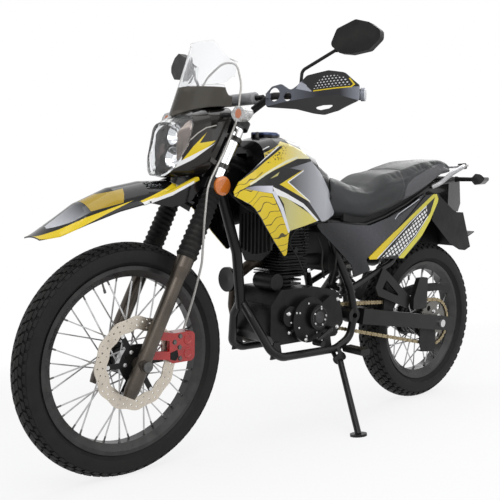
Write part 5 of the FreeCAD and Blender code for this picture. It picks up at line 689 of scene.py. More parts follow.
class Shape:
    """Gathers simple solids into one mesh."""

    def __init__(self):
        self.points = []
        self.faces = []

    def add(self, points, faces):
        start = len(self.points)
        self.points += [Vector(point) for point in points]
        self.faces += [[start + index for index in face] for face in faces]
        return self

    def loft(self, rings, closed=False):
        """Quads between rings of the same count, with flat ends."""
        count = len(rings[0])
        faces = []
        for ring in range(len(rings) if closed else len(rings) - 1):
            first, second = ring * count, (ring + 1) % len(rings) * count
            for index in range(count):
                after = (index + 1) % count
                faces.append((first + index, first + after, second + after, second + index))
        if not closed:
            last = (len(rings) - 1) * count
            faces += [tuple(range(count))[::-1], tuple(last + index for index in range(count))]
        return self.add([point for ring in rings for point in ring], faces)

    def turned(self, base, axis, profile, segments=32):
        """A closed profile of heights along the axis and radii, turned about the axis."""
        first, second = square_to(axis)
        along = unit(axis)
        rings = []
        for index in range(segments):
            cosine, sine = polar(1.0, FULL * index / segments)
            out = first * cosine + second * sine
            rings.append([base + along * height + out * max(radius, 0.01) for height, radius in profile])
        return self.loft(rings, closed=True)

    def rod(self, start, end, radius, segments):
        """A round bar between two points."""
        length = (end - start).length
        return self.turned(start, end - start, [(0, 0), (0, radius), (0, radius), (length, radius),
                                                (length, radius), (length, 0)], segments)

    def nut(self, base, axis, width, height):
        """A six-sided nut or bolt head with a washer under it."""
        self.rod(base, base + unit(axis) * height * 0.18, width * 0.68, 20)
        return self.turned(base, axis, [(0, 0), (0, width * 0.56), (height * 0.85, width * 0.56),
                                        (height, width * 0.46), (height, 0)], 6)

    def cap_screw(self, base, axis, width, height):
        """A round socket screw head, hollow in its middle."""
        return self.turned(base, axis, [(0, 0), (0, width / 2), (height * 0.8, width / 2),
                                        (height, width * 0.42), (height, width * 0.24),
                                        (height * 0.4, width * 0.24), (height * 0.4, 0)], 12)

    def block(self, centre, size):
        half = Vector(size) / 2
        corners = [Vector(centre) + Vector((x * half.x, y * half.y, z * half.z))
                   for x in (-1, 1) for y in (-1, 1) for z in (-1, 1)]
        return self.add(corners, [(0, 1, 3, 2), (4, 6, 7, 5), (0, 4, 5, 1), (2, 3, 7, 6), (0, 2, 6, 4),
                                  (1, 5, 7, 3)])

    def prism(self, outline, along):
        """An outline pushed along a direction."""
        return self.loft([outline, [point + along for point in outline]])

    def tube(self, path, radius, sides=10, closed=False):
        """A round tube along a list of points."""
        rings = []
        count = len(path)
        across = None
        for index, point in enumerate(path):
            before = path[index - 1] if index or closed else path[0]
            after = path[(index + 1) % count] if index < count - 1 or closed else path[-1]
            along = unit(after - before)
            if across is None:
                across = square_to(along)[0]
            across = unit(across - along * across.dot(along))
            other = along.cross(across)
            rings.append([point + across * first + other * second
                          for first, second in (polar(radius, FULL * side / sides) for side in range(sides))])
        return self.loft(rings, closed=closed)

    def mirrored(self):
        """Adds the same shapes on the other side."""
        flipped = [Vector((point.x, -point.y, point.z)) for point in self.points]
        return self.add(flipped, [face[::-1] for face in self.faces])

    def make(self, name, finish, body, bevel=0.0, angle=35.0, weld=False, replaces=()):
        """The finished piece, in the row's frame, riding on its body."""
        mesh = bpy.data.meshes.new(name)
        mesh.from_pydata([tuple(TO_ROW @ point) for point in self.points], [], self.faces)
        build = bmesh.new()
        build.from_mesh(mesh)
        if weld:
            bmesh.ops.remove_doubles(build, verts=build.verts, dist=0.00002)
        bmesh.ops.recalc_face_normals(build, faces=build.faces)
        build.to_mesh(mesh)
        build.free()
        mesh.materials.append(finish)
        piece = placed(name, mesh)
        if bevel:
            modifier = piece.modifiers.new("edge", "BEVEL")
            modifier.width = bevel / 1000
            modifier.segments = 2
            modifier.limit_method = "ANGLE"
            modifier.angle_limit = math.radians(40)
        smooth_shaded(mesh, angle)
        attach(piece, body)
        if replaces:
            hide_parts(*replaces)
        return piece


def curve_points(points, steps, closed=False):
    """A smooth line through points, as a list of points close together."""
    count = len(points)
    line = []
    for index in range(count if closed else count - 1):
        before = points[index - 1] if index or closed else points[0]
        start, end = points[index], points[(index + 1) % count]
        after = points[(index + 2) % count] if index < count - 2 or closed else points[-1]
        for step in range(steps):
            share = step / steps
            bend = 2 * before - 5 * start + 4 * end - after
            twist = 3 * start - before - 3 * end + after
            line.append(0.5 * ((2 * start) + (end - before) * share + bend * share ** 2 + twist * share ** 3))
    if not closed:
        line.append(points[-1].copy())
    return line


def around(centre, radius, angle, y=0.0):
    """A point about a wheel's axle, by its angle in turns from straight ahead."""
    across, height = polar(radius, FULL * angle)
    return centre + Vector((across, y, height))


TREES = {}


def tree_of(names):
    """A search tree of some nodes' surfaces, in the upright drawing."""
    key = tuple(names)
    if key not in TREES:
        points, faces = [], []
        for name in names:
            mesh = NODES[name].data
            start = len(points)
            points += [TO_DRAWING @ vertex.co for vertex in mesh.vertices]
            faces += [[start + index for index in polygon.vertices] for polygon in mesh.polygons]
        TREES[key] = BVHTree.FromPolygons(points, faces)
    return TREES[key]


def surface_y(x, z, names, fallback):
    """How far out the named nodes reach at a place of the side view."""
    hit = tree_of(names).ray_cast(Vector((x, 400.0, z)), -LEFTWARD)[0]
    return hit.y if hit else fallback


def flat_plate(name, rings, base, thick, finish, body, node):
    """A plate with holes, square to a wheel's axle: closed outlines, filled and given a thickness."""
    curve = bpy.data.curves.new(name, "CURVE")
    curve.dimensions = "2D"
    curve.fill_mode = "BOTH"
    curve.extrude = thick / 2000 - PLATE_EDGE / 1000
    curve.bevel_depth = PLATE_EDGE / 1000
    curve.bevel_resolution = 1
    for ring in rings:
        spline = curve.splines.new("POLY")
        spline.points.add(len(ring) - 1)
        for point, (x, y) in zip(spline.points, ring):
            point.co = (x / 1000, y / 1000, 0.0, 1.0)
        spline.use_cyclic_u = True
    holder = placed(name + "_curve", curve)
    mesh = bpy.data.meshes.new_from_object(holder.evaluated_get(bpy.context.evaluated_depsgraph_get()))
    bpy.data.objects.remove(holder)
    turn = Matrix(((1.0, 0.0, 0.0), -UPWARD, LEFTWARD)).transposed().to_4x4()
    mesh.transform(TO_ROW @ Matrix.Translation(base + LEFTWARD * thick / 2) @ turn @ Matrix.Scale(1000, 4))
    mesh.materials.clear()
    mesh.materials.append(finish)
    smooth_shaded(mesh, 35)
    piece = placed(name, mesh)
    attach(piece, body)
    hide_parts(node)


def ring_of(radius, centre=(0.0, 0.0), count=12, wave=0.0, lobes=0):
    """A closed outline about a point, wavy when it has lobes."""
    line = []
    for index in range(count):
        angle = FULL * index / count
        across, height = polar(radius + wave * math.cos(lobes * angle), angle)
        line.append((centre[0] + across, centre[1] + height))
    return line


def film(name, outline, node, finish, both=True, rounding=0):
    """Thin glass on the rear face of a steered node: an outline in y and z, laid on what it meets first."""
    flat = [Vector(point) for point in outline]
    if rounding:
        flat = [point.to_2d() for point in curve_points([point.to_3d() for point in flat], rounding, True)]
    build = bmesh.new()
    build.faces.new([build.verts.new((point.x, point.y, 0.0)) for point in flat])
    for way in range(2):
        low, high = min(point[way] for point in flat), max(point[way] for point in flat)
        normal = Vector((1.0 - way, float(way), 0.0))
        for step in range(1, int((high - low) / FILM_CELL) + 1):
            everything = list(build.verts) + list(build.edges) + list(build.faces)
            bmesh.ops.bisect_plane(build, geom=everything, plane_co=normal * (low + step * FILM_CELL),
                                   plane_no=normal)
    toward = Vector((1.0, 0.0, 0.0))
    lost = []
    for vertex in build.verts:
        hit, normal = tree_of([node]).ray_cast(Vector((-FILM_REACH, vertex.co.x, vertex.co.y)), toward)[:2]
        if hit is None:
            lost.append(vertex)
            continue
        if normal.dot(toward) > 0:
            normal = -normal
        vertex.co = hit + normal * FILM_LIFT
    bmesh.ops.delete(build, geom=lost, context="VERTS")
    torn = [face for face in build.faces if any(edge.calc_length() > FILM_CELL * 4 for edge in face.edges)]
    bmesh.ops.delete(build, geom=torn, context="FACES")
    build.verts.index_update()
    shape = Shape().add([vertex.co for vertex in build.verts],
                        [[vertex.index for vertex in face.verts] for face in build.faces])
    build.free()
    if both:
        shape.mirrored()
    modifier = shape.make(name, finish, "steering", angle=50.0).modifiers.new("film", "SOLIDIFY")
    modifier.thickness = FILM_THICKNESS / 1000
    modifier.offset = -1.0


# Tyres

TYRE_SEGMENTS = 144
# The bead, flank, shoulder and blocks, as shares of the tyre's size
BEAD_SHARE = 0.62
TREAD_SPAN_SHARE = 0.86
FLANK_SHARE = 0.55
CROWN_STEPS = 6
BLOCK_CORNERS = ((-1, -1), (-0.35, -1), (0.35, -1), (1, -1), (1, 1), (0.35, 1), (-0.35, 1), (-1, 1))
BLOCK_TOP = 0.86
RIDGE_RADIUS = 1.1
RIDGE_STEPS = 96


def tyre_skin(radius, half, bead_radius, crown, tread):
    """The carcass's section on its left half, from the bead to the crown, as y and radius."""
    bead = half * BEAD_SHARE
    floor = radius - tread
    spread = math.asin(TREAD_SPAN_SHARE * half / crown)
    shoulder = radius - crown + crown * math.cos(spread)
    flank = bead_radius + (shoulder - bead_radius) * FLANK_SHARE
    side = [(bead * 0.94, bead_radius + 0.6), (bead, bead_radius + 9.0), (bead + 1.5, bead_radius + 12.0),
            (half - 2.6, (bead_radius + flank) / 2 + 3), (half - 0.9, flank - 4), (half - 1.1, flank + 6),
            (half * 0.93, shoulder - tread * 1.2)]
    top = []
    for step in range(CROWN_STEPS):
        height, across = polar(crown, spread * 0.94 * (1 - step / (CROWN_STEPS - 1)))
        top.append((across, floor - crown + height))
    return side + top


def tread_blocks(shape, centre, radius, crown, tread, rows, count):
    """Rows of blocks round the tread: each row has a place across, a width, a length and a skew."""
    for place, width, share, skew, shift, drop in rows:
        length = FULL / count * share
        for side in (-1, 1):
            for index in range(count):
                middle = FULL * (index + shift + (0.5 if side < 0 else 0.0)) / count
                rings = []
                for level, shrink in ((-tread * 1.5, 1.0), (-0.9 - drop, 1.0), (-drop, BLOCK_TOP)):
                    ring = []
                    for across, along in BLOCK_CORNERS:
                        height, y = polar(crown + level, (place + across * width / 2 * shrink) / crown)
                        angle = middle + length / 2 * along * shrink + skew * across * length * side
                        x, z = polar(height + radius - crown, angle)
                        ring.append(centre + Vector((x, side * y, z)))
                    rings.append(ring)
                shape.loft(rings)


def make_tyre(end, finish, centre, radius, half, bead_radius, crown, tread, rows, count, wall):
    """A tyre with its tread and the ridges on its walls."""
    skin = tyre_skin(radius, half, bead_radius, crown, tread)
    middle = (bead_radius + radius) / 2
    inside = [(-half * 0.5, bead_radius + 2), (-half * 0.72, middle), (0, radius - tread * 2.2),
              (half * 0.72, middle), (half * 0.5, bead_radius + 2)]
    shape = Shape().turned(centre, LEFTWARD, skin + [(-y, reach) for y, reach in skin[::-1][1:]] + inside,
                           TYRE_SEGMENTS)
    tread_blocks(shape, centre, radius, crown, tread, rows, count)
    for reach, y in wall:
        for side in (-1, 1):
            ridge = [around(centre, reach, step / RIDGE_STEPS, side * y) for step in range(RIDGE_STEPS)]
            shape.tube(ridge, RIDGE_RADIUS, 6, closed=True)
    shape.make(end + "_tyre_treaded", finish, end + "_wheel", angle=32.0, replaces=(end + "_tyre",))


make_tyre("front", FRONT_RUBBER, FRONT_AXLE, FRONT_RADIUS, half=42.0, bead_radius=270.0, crown=52.0,
          tread=6.0, rows=((5.5, 10.5, 0.78, 0.16, 0.0, 0.0), (17.5, 10.5, 0.76, 0.10, 0.30, 0.0),
                (29.5, 10.5, 0.74, -0.12, 0.55, 0.2), (41.0, 10.0, 0.70, -0.05, 0.85, 0.6)), count=68,
          wall=((284.5, 27.8), (300.0, 37.0)))
make_tyre("rear", REAR_RUBBER, REAR_AXLE, REAR_RADIUS, half=54.0, bead_radius=233.0, crown=70.0, tread=8.0,
          rows=((7.0, 13.5, 0.76, 0.16, 0.0, 0.0), (22.0, 13.5, 0.74, 0.10, 0.30, 0.0),
                (37.5, 14.0, 0.72, -0.12, 0.55, 0.2), (53.0, 13.0, 0.66, -0.05, 0.85, 0.6)), count=54,
          wall=((250.0, 35.0), (268.0, 46.0)))


# Wheels' small parts

SPOKES = 36
SPOKE_LEAN = 62.0 / 360
VALVE_PLACE = 0.2
BORE_RADIUS = 8.6
DISC_LOBES = 12
DISC_FACE = 63.3
# Drilled holes in each lobe of the disc: reach, place along the lobe and size
DISC_HOLES = ((128.0, 0.0, 3.3), (120.5, 0.30, 3.3), (120.5, -0.30, 3.3), (111.0, 0.0, 3.3),
              (128.5, 0.5, 2.7), (105.0, 0.42, 2.7))
ARMS = 6
# Corners of one arm of the disc's carrier, and of one sprocket tooth: place along it and reach
ARM_CORNERS = ((-0.5, 56.0), (-0.13, 58.0), (-0.075, 98.5), (0.075, 98.5), (0.13, 58.0))
TEETH = 40
TOOTH_CORNERS = ((0.0, 85.6), (0.3, 85.6), (0.42, 90.6), (0.60, 90.6), (0.72, 85.6))
SPROCKET_FACE = 81.3


def nipples(end, centre, rim_bottom, hub_reach, hub_y, rim_y):
    """Spoke nipples under the rim, in line with the spokes, and the valve."""
    shape = Shape()
    for index in range(SPOKES):
        side = 1 if index % 2 else -1
        lean = SPOKE_LEAN if (index // 2) % 2 else -SPOKE_LEAN
        outer = (index + 0.5) / SPOKES
        foot = around(centre, rim_bottom + 1.0, outer, side * rim_y)
        along = unit(around(centre, hub_reach, outer + lean, side * hub_y) - foot)
        shape.turned(foot, along, [(-2, 0), (-2, 3.8), (3, 3.8), (4, 2.9), (15, 2.7), (16, 1.9), (16, 0)], 10)
    valve = around(centre, rim_bottom + 1.0, VALVE_PLACE)
    shape.turned(valve, unit(centre - valve), [(-2, 0), (-2, 6), (2, 6), (2, 3), (26, 3), (26, 4), (36, 4),
                                               (37, 0)],
                 14)
    shape.make(end + "_nipples", STEEL_DARK, end + "_wheel")


def hub_trim():
    """Bolts that hold the disc and the sprocket, and ribs round the hubs."""
    for name, body, centre, reach, shift, y, width, height in (
            ("disc_bolts", "front_wheel", FRONT_AXLE, 40.0, 0.0, 67.2, 9.0, 5.0),
            ("sprocket_bolts", "rear_wheel", REAR_AXLE, 42.0, 0.5, 86.8, 12.0, 6.0)):
        shape = Shape()
        for index in range(ARMS):
            shape.nut(around(centre, reach, (index + shift) / ARMS, y), LEFTWARD, width, height)
        shape.make(name, ALLOY, body, bevel=0.3)
    for end, centre, places, low, segments in (("front", FRONT_AXLE, (-30.0, 30.0), 29.5, 48),
                                               ("rear", REAR_AXLE, (-40.0, -20.0, 0.0, 20.0, 40.0), 61.5,
                                                64)):
        shape = Shape()
        for y in places:
            shape.turned(centre + LEFTWARD * y, LEFTWARD, [(-1.5, low), (-1.5, low + 3.5), (1.5, low + 3.5),
                                                           (1.5, low)], segments)
        shape.make(end + "_hub_rings", FRAME_BLACK, end + "_wheel")


def star(count, corners):
    """A closed outline of the same corners repeated round a centre."""
    return [polar(reach, FULL * (index + shift) / count) for index in range(count)
            for shift, reach in corners]


def make_disc():
    """The wavy front disc: drilled, with arms to its dark carrier."""
    rings = [ring_of(reach, count=240, wave=2.5, lobes=DISC_LOBES) for reach in (135.5, 97.5)]
    for index in range(DISC_LOBES):
        for reach, shift, size in DISC_HOLES:
            rings.append(ring_of(size, polar(reach, FULL * (index + shift) / DISC_LOBES)))
    flat_plate("disc_band", rings, FRONT_AXLE + LEFTWARD * DISC_FACE, 4.0, DISC_STEEL, "front_wheel",
               "front_disc")
    rings = [star(ARMS, ARM_CORNERS), ring_of(BORE_RADIUS, count=32)]
    rings += [ring_of(5.0, polar(46.0, FULL * (index + 0.5) / ARMS)) for index in range(ARMS)]
    flat_plate("disc_spider", rings, FRONT_AXLE + LEFTWARD * (DISC_FACE + 0.3), 3.4, FRAME_BLACK,
               "front_wheel", "front_disc")
    shape = Shape()
    for index in range(ARMS):
        shape.turned(around(FRONT_AXLE, 95.5, index / ARMS, DISC_FACE - 0.4), LEFTWARD,
                     [(0, 0), (0, 6), (5.4, 6), (5.4, 3), (4.6, 3), (4.6, 0)], 20)
    shape.make("disc_buttons", ALLOY, "front_wheel", bevel=0.2)


def make_sprocket():
    """The toothed plate, with six round openings."""
    rings = [star(TEETH, TOOTH_CORNERS), ring_of(BORE_RADIUS, count=32)]
    rings += [ring_of(11.5, polar(66.0, FULL * index / ARMS), 28) for index in range(ARMS)]
    flat_plate("sprocket_plate", rings, REAR_AXLE + LEFTWARD * SPROCKET_FACE, 5.7, SPROCKET_STEEL,
               "rear_wheel", "rear_sprocket")


nipples("front", FRONT_AXLE, 246.0, 42.4, 35.5, 8.4)
nipples("rear", REAR_AXLE, 209.0, 70.4, 49.5, 10.8)
hub_trim()
make_disc()
make_sprocket()


# Chain

CHAIN_PITCH = 15.875
CHAIN_PLANE = 84.0
CHAIN_REAR_REACH = 91.0
CHAIN_FRONT_REACH = 38.0
PLATE_THICKNESS = 1.7
# One end of a side plate's upper edge, along the link and out from it
LINK_END = ((-6.4, 2.6), (-4.6, 5.6), (0.0, 7.0), (3.2, 6.0))
LINK_WAIST = 4.6


def chain_line():
    """The chain's length and its pitch line, as a function from a distance along it to a place."""
    span = ENGINE_SPROCKET - REAR_AXLE
    big, small = CHAIN_REAR_REACH, CHAIN_FRONT_REACH
    slope = math.atan2(span.z, span.x)
    spread = math.acos((big - small) / span.length)
    straight = math.sqrt(span.length ** 2 - (big - small) ** 2)
    lengths = [straight, 2 * spread * small, straight, (FULL - 2 * spread) * big]
    top, low = slope + spread, slope - spread

    def at(distance):
        distance %= sum(lengths)
        for part, length in enumerate(lengths):
            if distance <= length:
                break
            distance -= length
        if part % 2 == 0:
            turn = (low if part else top) / FULL
            share = 1 - distance / length if part else distance / length
            return around(REAR_AXLE, big, turn).lerp(around(ENGINE_SPROCKET, small, turn), share)
        centre, reach, first = (ENGINE_SPROCKET, small, top) if part == 1 else (REAR_AXLE, big, low)
        return around(centre, reach, (first - distance / reach) / FULL)

    return at, sum(lengths)


def make_chain():
    """Links of waisted side plates round pins and rollers."""
    at, length = chain_line()
    count = int(length / CHAIN_PITCH / 2) * 2
    plates, pins = Shape(), Shape()
    for index in range(count):
        start, end = at(index * length / count), at((index + 1) * length / count)
        along = unit(end - start)
        up = along.cross(LEFTWARD)
        middle = start.lerp(end, 0.5)
        ring = []
        for turn, near, far in ((1, start, end), (-1, end, start)):
            ring += [near + (along * x - up * z) * turn for x, z in LINK_END]
            ring += [middle - up * LINK_WAIST * turn]
            ring += [far + (along * -x - up * z) * turn for x, z in LINK_END[::-1]]
        for side in (-1, 1):
            y = CHAIN_PLANE + side * (4.6 if index % 2 else 6.6)
            plates.prism([point + LEFTWARD * y for point in ring], LEFTWARD * (side * PLATE_THICKNESS))
        for half, radius, segments in ((8.4, 2.4, 8), (4.4, 5.0, 12)):
            pins.rod(start + LEFTWARD * (CHAIN_PLANE - half), start + LEFTWARD * (CHAIN_PLANE + half), radius,
                     segments)
    plates.make("chain_plates", CHAIN_STEEL, "root", replaces=("drive_chain",))
    pins.make("chain_rollers", STEEL_DARK, "root", replaces=("drive_chain",))


make_chain()


# Seat

SEAT_VOXEL = 0.006
SEAT_SWELL = 0.006
SEAT_FRAMES = 16
SEAT_PRESSURE = 4.0
SEAT_TENSION = 25.0
# Heights between which a hollow grows to its full depth
SEAT_FLOOR = 800.0
SEAT_FULL = 920.0
# The hollows pressed into the seat: depth, place from the rear axle and width
SEAT_HOLLOWS = ((38.0, 440.0, 62.0), (18.0, 280.0, 130.0))
# The seam across the seat: its place and height, lean, half width and depth
SEAM_PLACE = 262.0
SEAM_HEIGHT = 870.0
SEAM_LEAN = 0.35
SEAM_WIDTH = 5.0
SEAM_DEPTH = 0.0035


def between(value, low, high):
    return max(low, min(high, value))


def applied(piece, name, kind, **settings):
    """Gives a piece one modifier and makes its result the piece's own mesh."""
    modifier = piece.modifiers.new(name, kind)
    for key, value in settings.items():
        setattr(modifier, key, value)
    piece.data = evaluated(piece)
    piece.modifiers.clear()


def evaluated(piece):
    """The piece's mesh with its modifiers applied."""
    bpy.context.view_layer.update()
    return bpy.data.meshes.new_from_object(piece.evaluated_get(bpy.context.evaluated_depsgraph_get()))


def fill_seat(seat):
    """Blows the cover out a little with a short cloth simulation, most on its upper side."""
    held = [(vertex.co.copy(), vertex.normal.copy()) for vertex in seat.data.vertices]
    cloth = seat.modifiers.new("Cloth", "CLOTH").settings
    cloth.use_pressure = True
    cloth.uniform_pressure_force = SEAT_PRESSURE
    cloth.effector_weights.gravity = 0.0
    cloth.tension_stiffness = SEAT_TENSION
    cloth.quality = 5
    for step in range(1, SEAT_FRAMES + 1):
        bpy.context.scene.frame_set(step)
    puffed = [vertex.co.copy() for vertex in evaluated(seat).vertices]
    seat.modifiers.clear()
    bpy.context.scene.frame_set(1)
    for vertex, (start, normal), end in zip(seat.data.vertices, held, puffed):
        swell = between((end - start).dot(normal), -SEAT_SWELL, SEAT_SWELL)
        vertex.co = start + normal * swell * between(normal.z * 2 + 0.8, 0.0, 1.0)


def seat_cover():
    """The padded seat: the solid's skin, remeshed, filled by a short cloth simulation, then sewn."""
    seat = placed("seat_cover", NODES["seat"].data.copy())
    applied(seat, "even", "REMESH", mode="VOXEL", voxel_size=SEAT_VOXEL)
    applied(seat, "ease", "SMOOTH", factor=0.5, iterations=6)
    fill_seat(seat)
    for vertex in seat.data.vertices:
        place = TO_DRAWING @ vertex.co
        share = between((place.z - SEAT_FLOOR) / (SEAT_FULL - SEAT_FLOOR), 0.0, 1.0)
        dip = sum(depth * math.exp(-((place.x - middle) / width) ** 2)
                  for depth, middle, width in SEAT_HOLLOWS)
        vertex.co = TO_ROW @ (place - UPWARD * dip * share * share * (3 - 2 * share))
    for vertex in seat.data.vertices:
        place = TO_DRAWING @ vertex.co
        off = place.x - SEAM_PLACE + (place.z - SEAM_HEIGHT) * SEAM_LEAN
        if vertex.normal.z > -0.4:
            vertex.co -= vertex.normal * SEAM_DEPTH * math.exp(-(off / SEAM_WIDTH) ** 2)
    seat.data.materials.clear()
    seat.data.materials.append(SEAT_VINYL)
    seat.data.shade_smooth()
    finer = seat.modifiers.new("finer", "SUBSURF")
    finer.levels = finer.render_levels = 1
    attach(seat, "root")
    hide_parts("seat")


seat_cover()


# Lamps, mirrors and dials

LAMP_FORWARD = unit((1.0, 0.0, 0.16))
# Sections of the headlight's dark back: place ahead, lowest, highest and half width
LAMP_BACK_SECTIONS = ((1160.0, 896.0, 1076.0, 66.0), (1178.0, 900.0, 1068.0, 62.0),
                      (1204.0, 900.0, 1036.0, 52.0), (1206.0, 906.0, 1030.0, 48.0))
LAMP_BACK_SIDES = 28
# The two bowls: height, place ahead and radius
BOWLS = ((1006.0, 1204.0, 30.0), (938.0, 1212.0, 29.0))
# The liner is the lens drawn in: how far back, about which height, how much smaller, and from which width out
LINER_BACK = 13.0
LINER_HEIGHT = 982.0
LINER_LEAN = 0.02
LINER_SHARES = (0.90, 0.93)
LINER_INNER = 54.0
MIRROR_CENTRE = (421.0, 1285.0)
MIRROR_SIZE = 92.0 * 0.86
MIRROR_SHARES = ((-0.84, -0.16), (-0.62, 0.32), (0.02, 0.55), (0.48, 0.42), (0.86, 0.14), (0.86, -0.10),
                 (0.50, -0.42), (-0.10, -0.50), (-0.50, -0.44))
DIAL_OUTLINE = ((-50.0, 1080.0), (-50.0, 1134.0), (-38.0, 1146.0), (38.0, 1146.0), (50.0, 1134.0),
                (50.0, 1080.0))


def headlight_inside():
    """Two bowls with bulbs, a dark back and metal wings on each side, behind the clear lens."""
    rings = []
    for x, low, high, half in LAMP_BACK_SECTIONS:
        ring = [polar(1.0, FULL * step / LAMP_BACK_SIDES) for step in range(LAMP_BACK_SIDES)]
        rings.append([Vector((x, half * across, (low + high + (high - low) * rise) / 2))
                      for across, rise in ring])
    Shape().loft(rings).make("headlight_back", LAMP_BACK, "steering", bevel=1.0)
    bowls, bulbs = Shape(), Shape()
    for height, x, radius in BOWLS:
        base = Vector((x, 0.0, height))
        bowls.turned(base, LAMP_FORWARD, [(0, 5), (4, 14), (14, 24), (26, radius), (28, radius + 2.5),
                                          (24, radius + 2.5), (10, 24), (-2, 14), (-2, 5)], 36)
        bulbs.turned(base + LAMP_FORWARD * 6, LAMP_FORWARD,
                     [(-6, 0), (-6, 5), (2, 8.5), (8, 9.5), (13, 7.5), (16, 0)], 24)
    bowls.make("headlight_bowls", CHROME, "steering", bevel=0.4)
    bulbs.make("headlight_bulbs", LAMP_WHITE, "steering", weld=True)
    source = NODES["headlight_lens"].data
    points = []
    for vertex in source.vertices:
        place = TO_DRAWING @ vertex.co
        rise = place.z - LINER_HEIGHT
        points.append(Vector((place.x - LINER_BACK + rise * LINER_LEAN, place.y * LINER_SHARES[0],
                              LINER_HEIGHT + rise * LINER_SHARES[1])))
    faces = [polygon.vertices for polygon in source.polygons
             if all(abs(points[index].y) > LINER_INNER for index in polygon.vertices)]
    Shape().add(points, faces).make("headlight_liner", LAMP_BACK, "steering", angle=50.0, weld=True)


headlight_inside()
film("mirror_glasses", [(MIRROR_CENTRE[0] + y * MIRROR_SIZE, MIRROR_CENTRE[1] + z * MIRROR_SIZE)
                        for y, z in MIRROR_SHARES], "mirrors", MIRROR_GLASS, rounding=4)
film("dial_glass", DIAL_OUTLINE, "instruments", DIAL_GLASS, both=False)


# Engine, inner panels and small parts

FIN_COUNT = 17
FIN_PITCH = 9.6
FIN_LOW = 560.0
FIN_THICKNESS = 2.4
# The head's fins reach this far past the barrel's
FIN_HEAD_START = 8
FIN_HEAD_GROW = 5.0
FIN_FRONT = 846.0
FIN_BACK = 716.0
FIN_HALF = 74.0
# The barrel's middle, and how far a fin's inner edge stands in toward it, ahead and across
BARREL_MIDDLE = 782.0
FIN_INNER_SHARES = (0.25, 0.72)
CASE_BOLTS = ((604, 372), (604, 470), (640, 520), (700, 545), (770, 552), (822, 520), (838, 440), (820, 372),
              (762, 345), (690, 342))
CASE_LEAST_REACH = 60.0
# Rings of cap screws: place ahead, height, radius and count
CAP_RINGS = ((712.0, 419.0, 29.0, 5), (745.0, 412.0, 57.0, 7), (828.0, 430.0, 21.0, 3))
COVER = (712.0, 419.0)
CHAIN_PLUG = (724.0, 575.0)
# Leads and hoses at the engine: radius and the points they pass
LEADS = ((4.2, ((812, 78, 668), (826, 96, 690), (800, 100, 724), (760, 84, 744), (742, 60, 752))),
         (2.8, ((1078, 44, 866), (1010, 62, 800), (900, 84, 742), (800, 92, 640), (770, 96, 590),
                (742, 92, 552))),
         (3.4, ((676, 66, 700), (660, 84, 640), (668, 92, 590), (650, 88, 545))),
         (3.4, ((610, 80, 700), (598, 92, 640), (604, 96, 580), (620, 92, 520))))
GUIDE_OUTLINE = ((-92.0, 792.0), (92.0, 792.0), (88.0, 690.0), (60.0, 640.0), (24.0, 610.0), (-60.0, 606.0),
                 (-92.0, 660.0))
GUIDE_FACE = 884.0
GUIDE_WALL = 5.0
GUIDE_RIBS = 9
GUIDE_RIB_START = -76.0
GUIDE_RIB_PITCH = 19.0
SEAT_BASE_OUTLINE = ((560.0, 740.0), (470.0, 728.0), (350.0, 752.0), (241.0, 786.0), (120.0, 846.0),
                     (40.0, 884.0), (44.0, 908.0), (150.0, 878.0), (262.0, 838.0), (380.0, 800.0),
                     (480.0, 776.0), (560.0, 772.0))
BRACKET_OUTLINE = ((-216.0, 944.0), (-170.0, 940.0), (-152.0, 950.0), (-160.0, 964.0), (-206.0, 968.0),
                   (-222.0, 960.0))
FLAP_LOOP = ((-248.0, 704.0), (-296.0, 694.0), (-300.0, 710.0), (-250.0, 720.0))
CALIPER_CAPS = ((1232.0, 400.0), (1232.0, 358.0))
CALIPER_PINS = ((1262.0, 412.0), (1264.0, 379.0), (1262.0, 345.0), (1282.0, 396.0))
BRIDGE_OUTLINE = ((1272.0, 372.0), (1297.0, 366.0), (1297.0, 346.0), (1278.0, 340.0), (1268.0, 352.0))


def upright(outline, y):
    """An outline given ahead and up, in the plane this far to the left."""
    return [Vector((x, y, z)) for x, z in outline]


def cooling_fins():
    """Thin fins around the barrel and head, between and beyond the solid's own."""
    fins = Shape()
    for step in range(FIN_COUNT):
        grow = 0.0 if step < FIN_HEAD_START else FIN_HEAD_GROW
        front, back, half = FIN_FRONT + grow, FIN_BACK - grow, FIN_HALF + grow
        ring = [(back, -half + 10), (back + 10, -half), (front - 12, -half), (front, -half + 12),
                (front, half - 12), (front - 12, half), (back + 10, half), (back, half - 10)]
        height = FIN_LOW + step * FIN_PITCH
        outer = [Vector((x, y, height)) for x, y in ring]
        inner = [Vector((x + (BARREL_MIDDLE - x) * FIN_INNER_SHARES[0], y * FIN_INNER_SHARES[1], height))
                 for x, y in ring]
        lift = UPWARD * FIN_THICKNESS
        fins.loft([outer, [point + lift for point in outer], [point + lift for point in inner], inner],
                  closed=True)
    fins.make("cooling_fins", ENGINE_BLACK, "root", bevel=0.4)


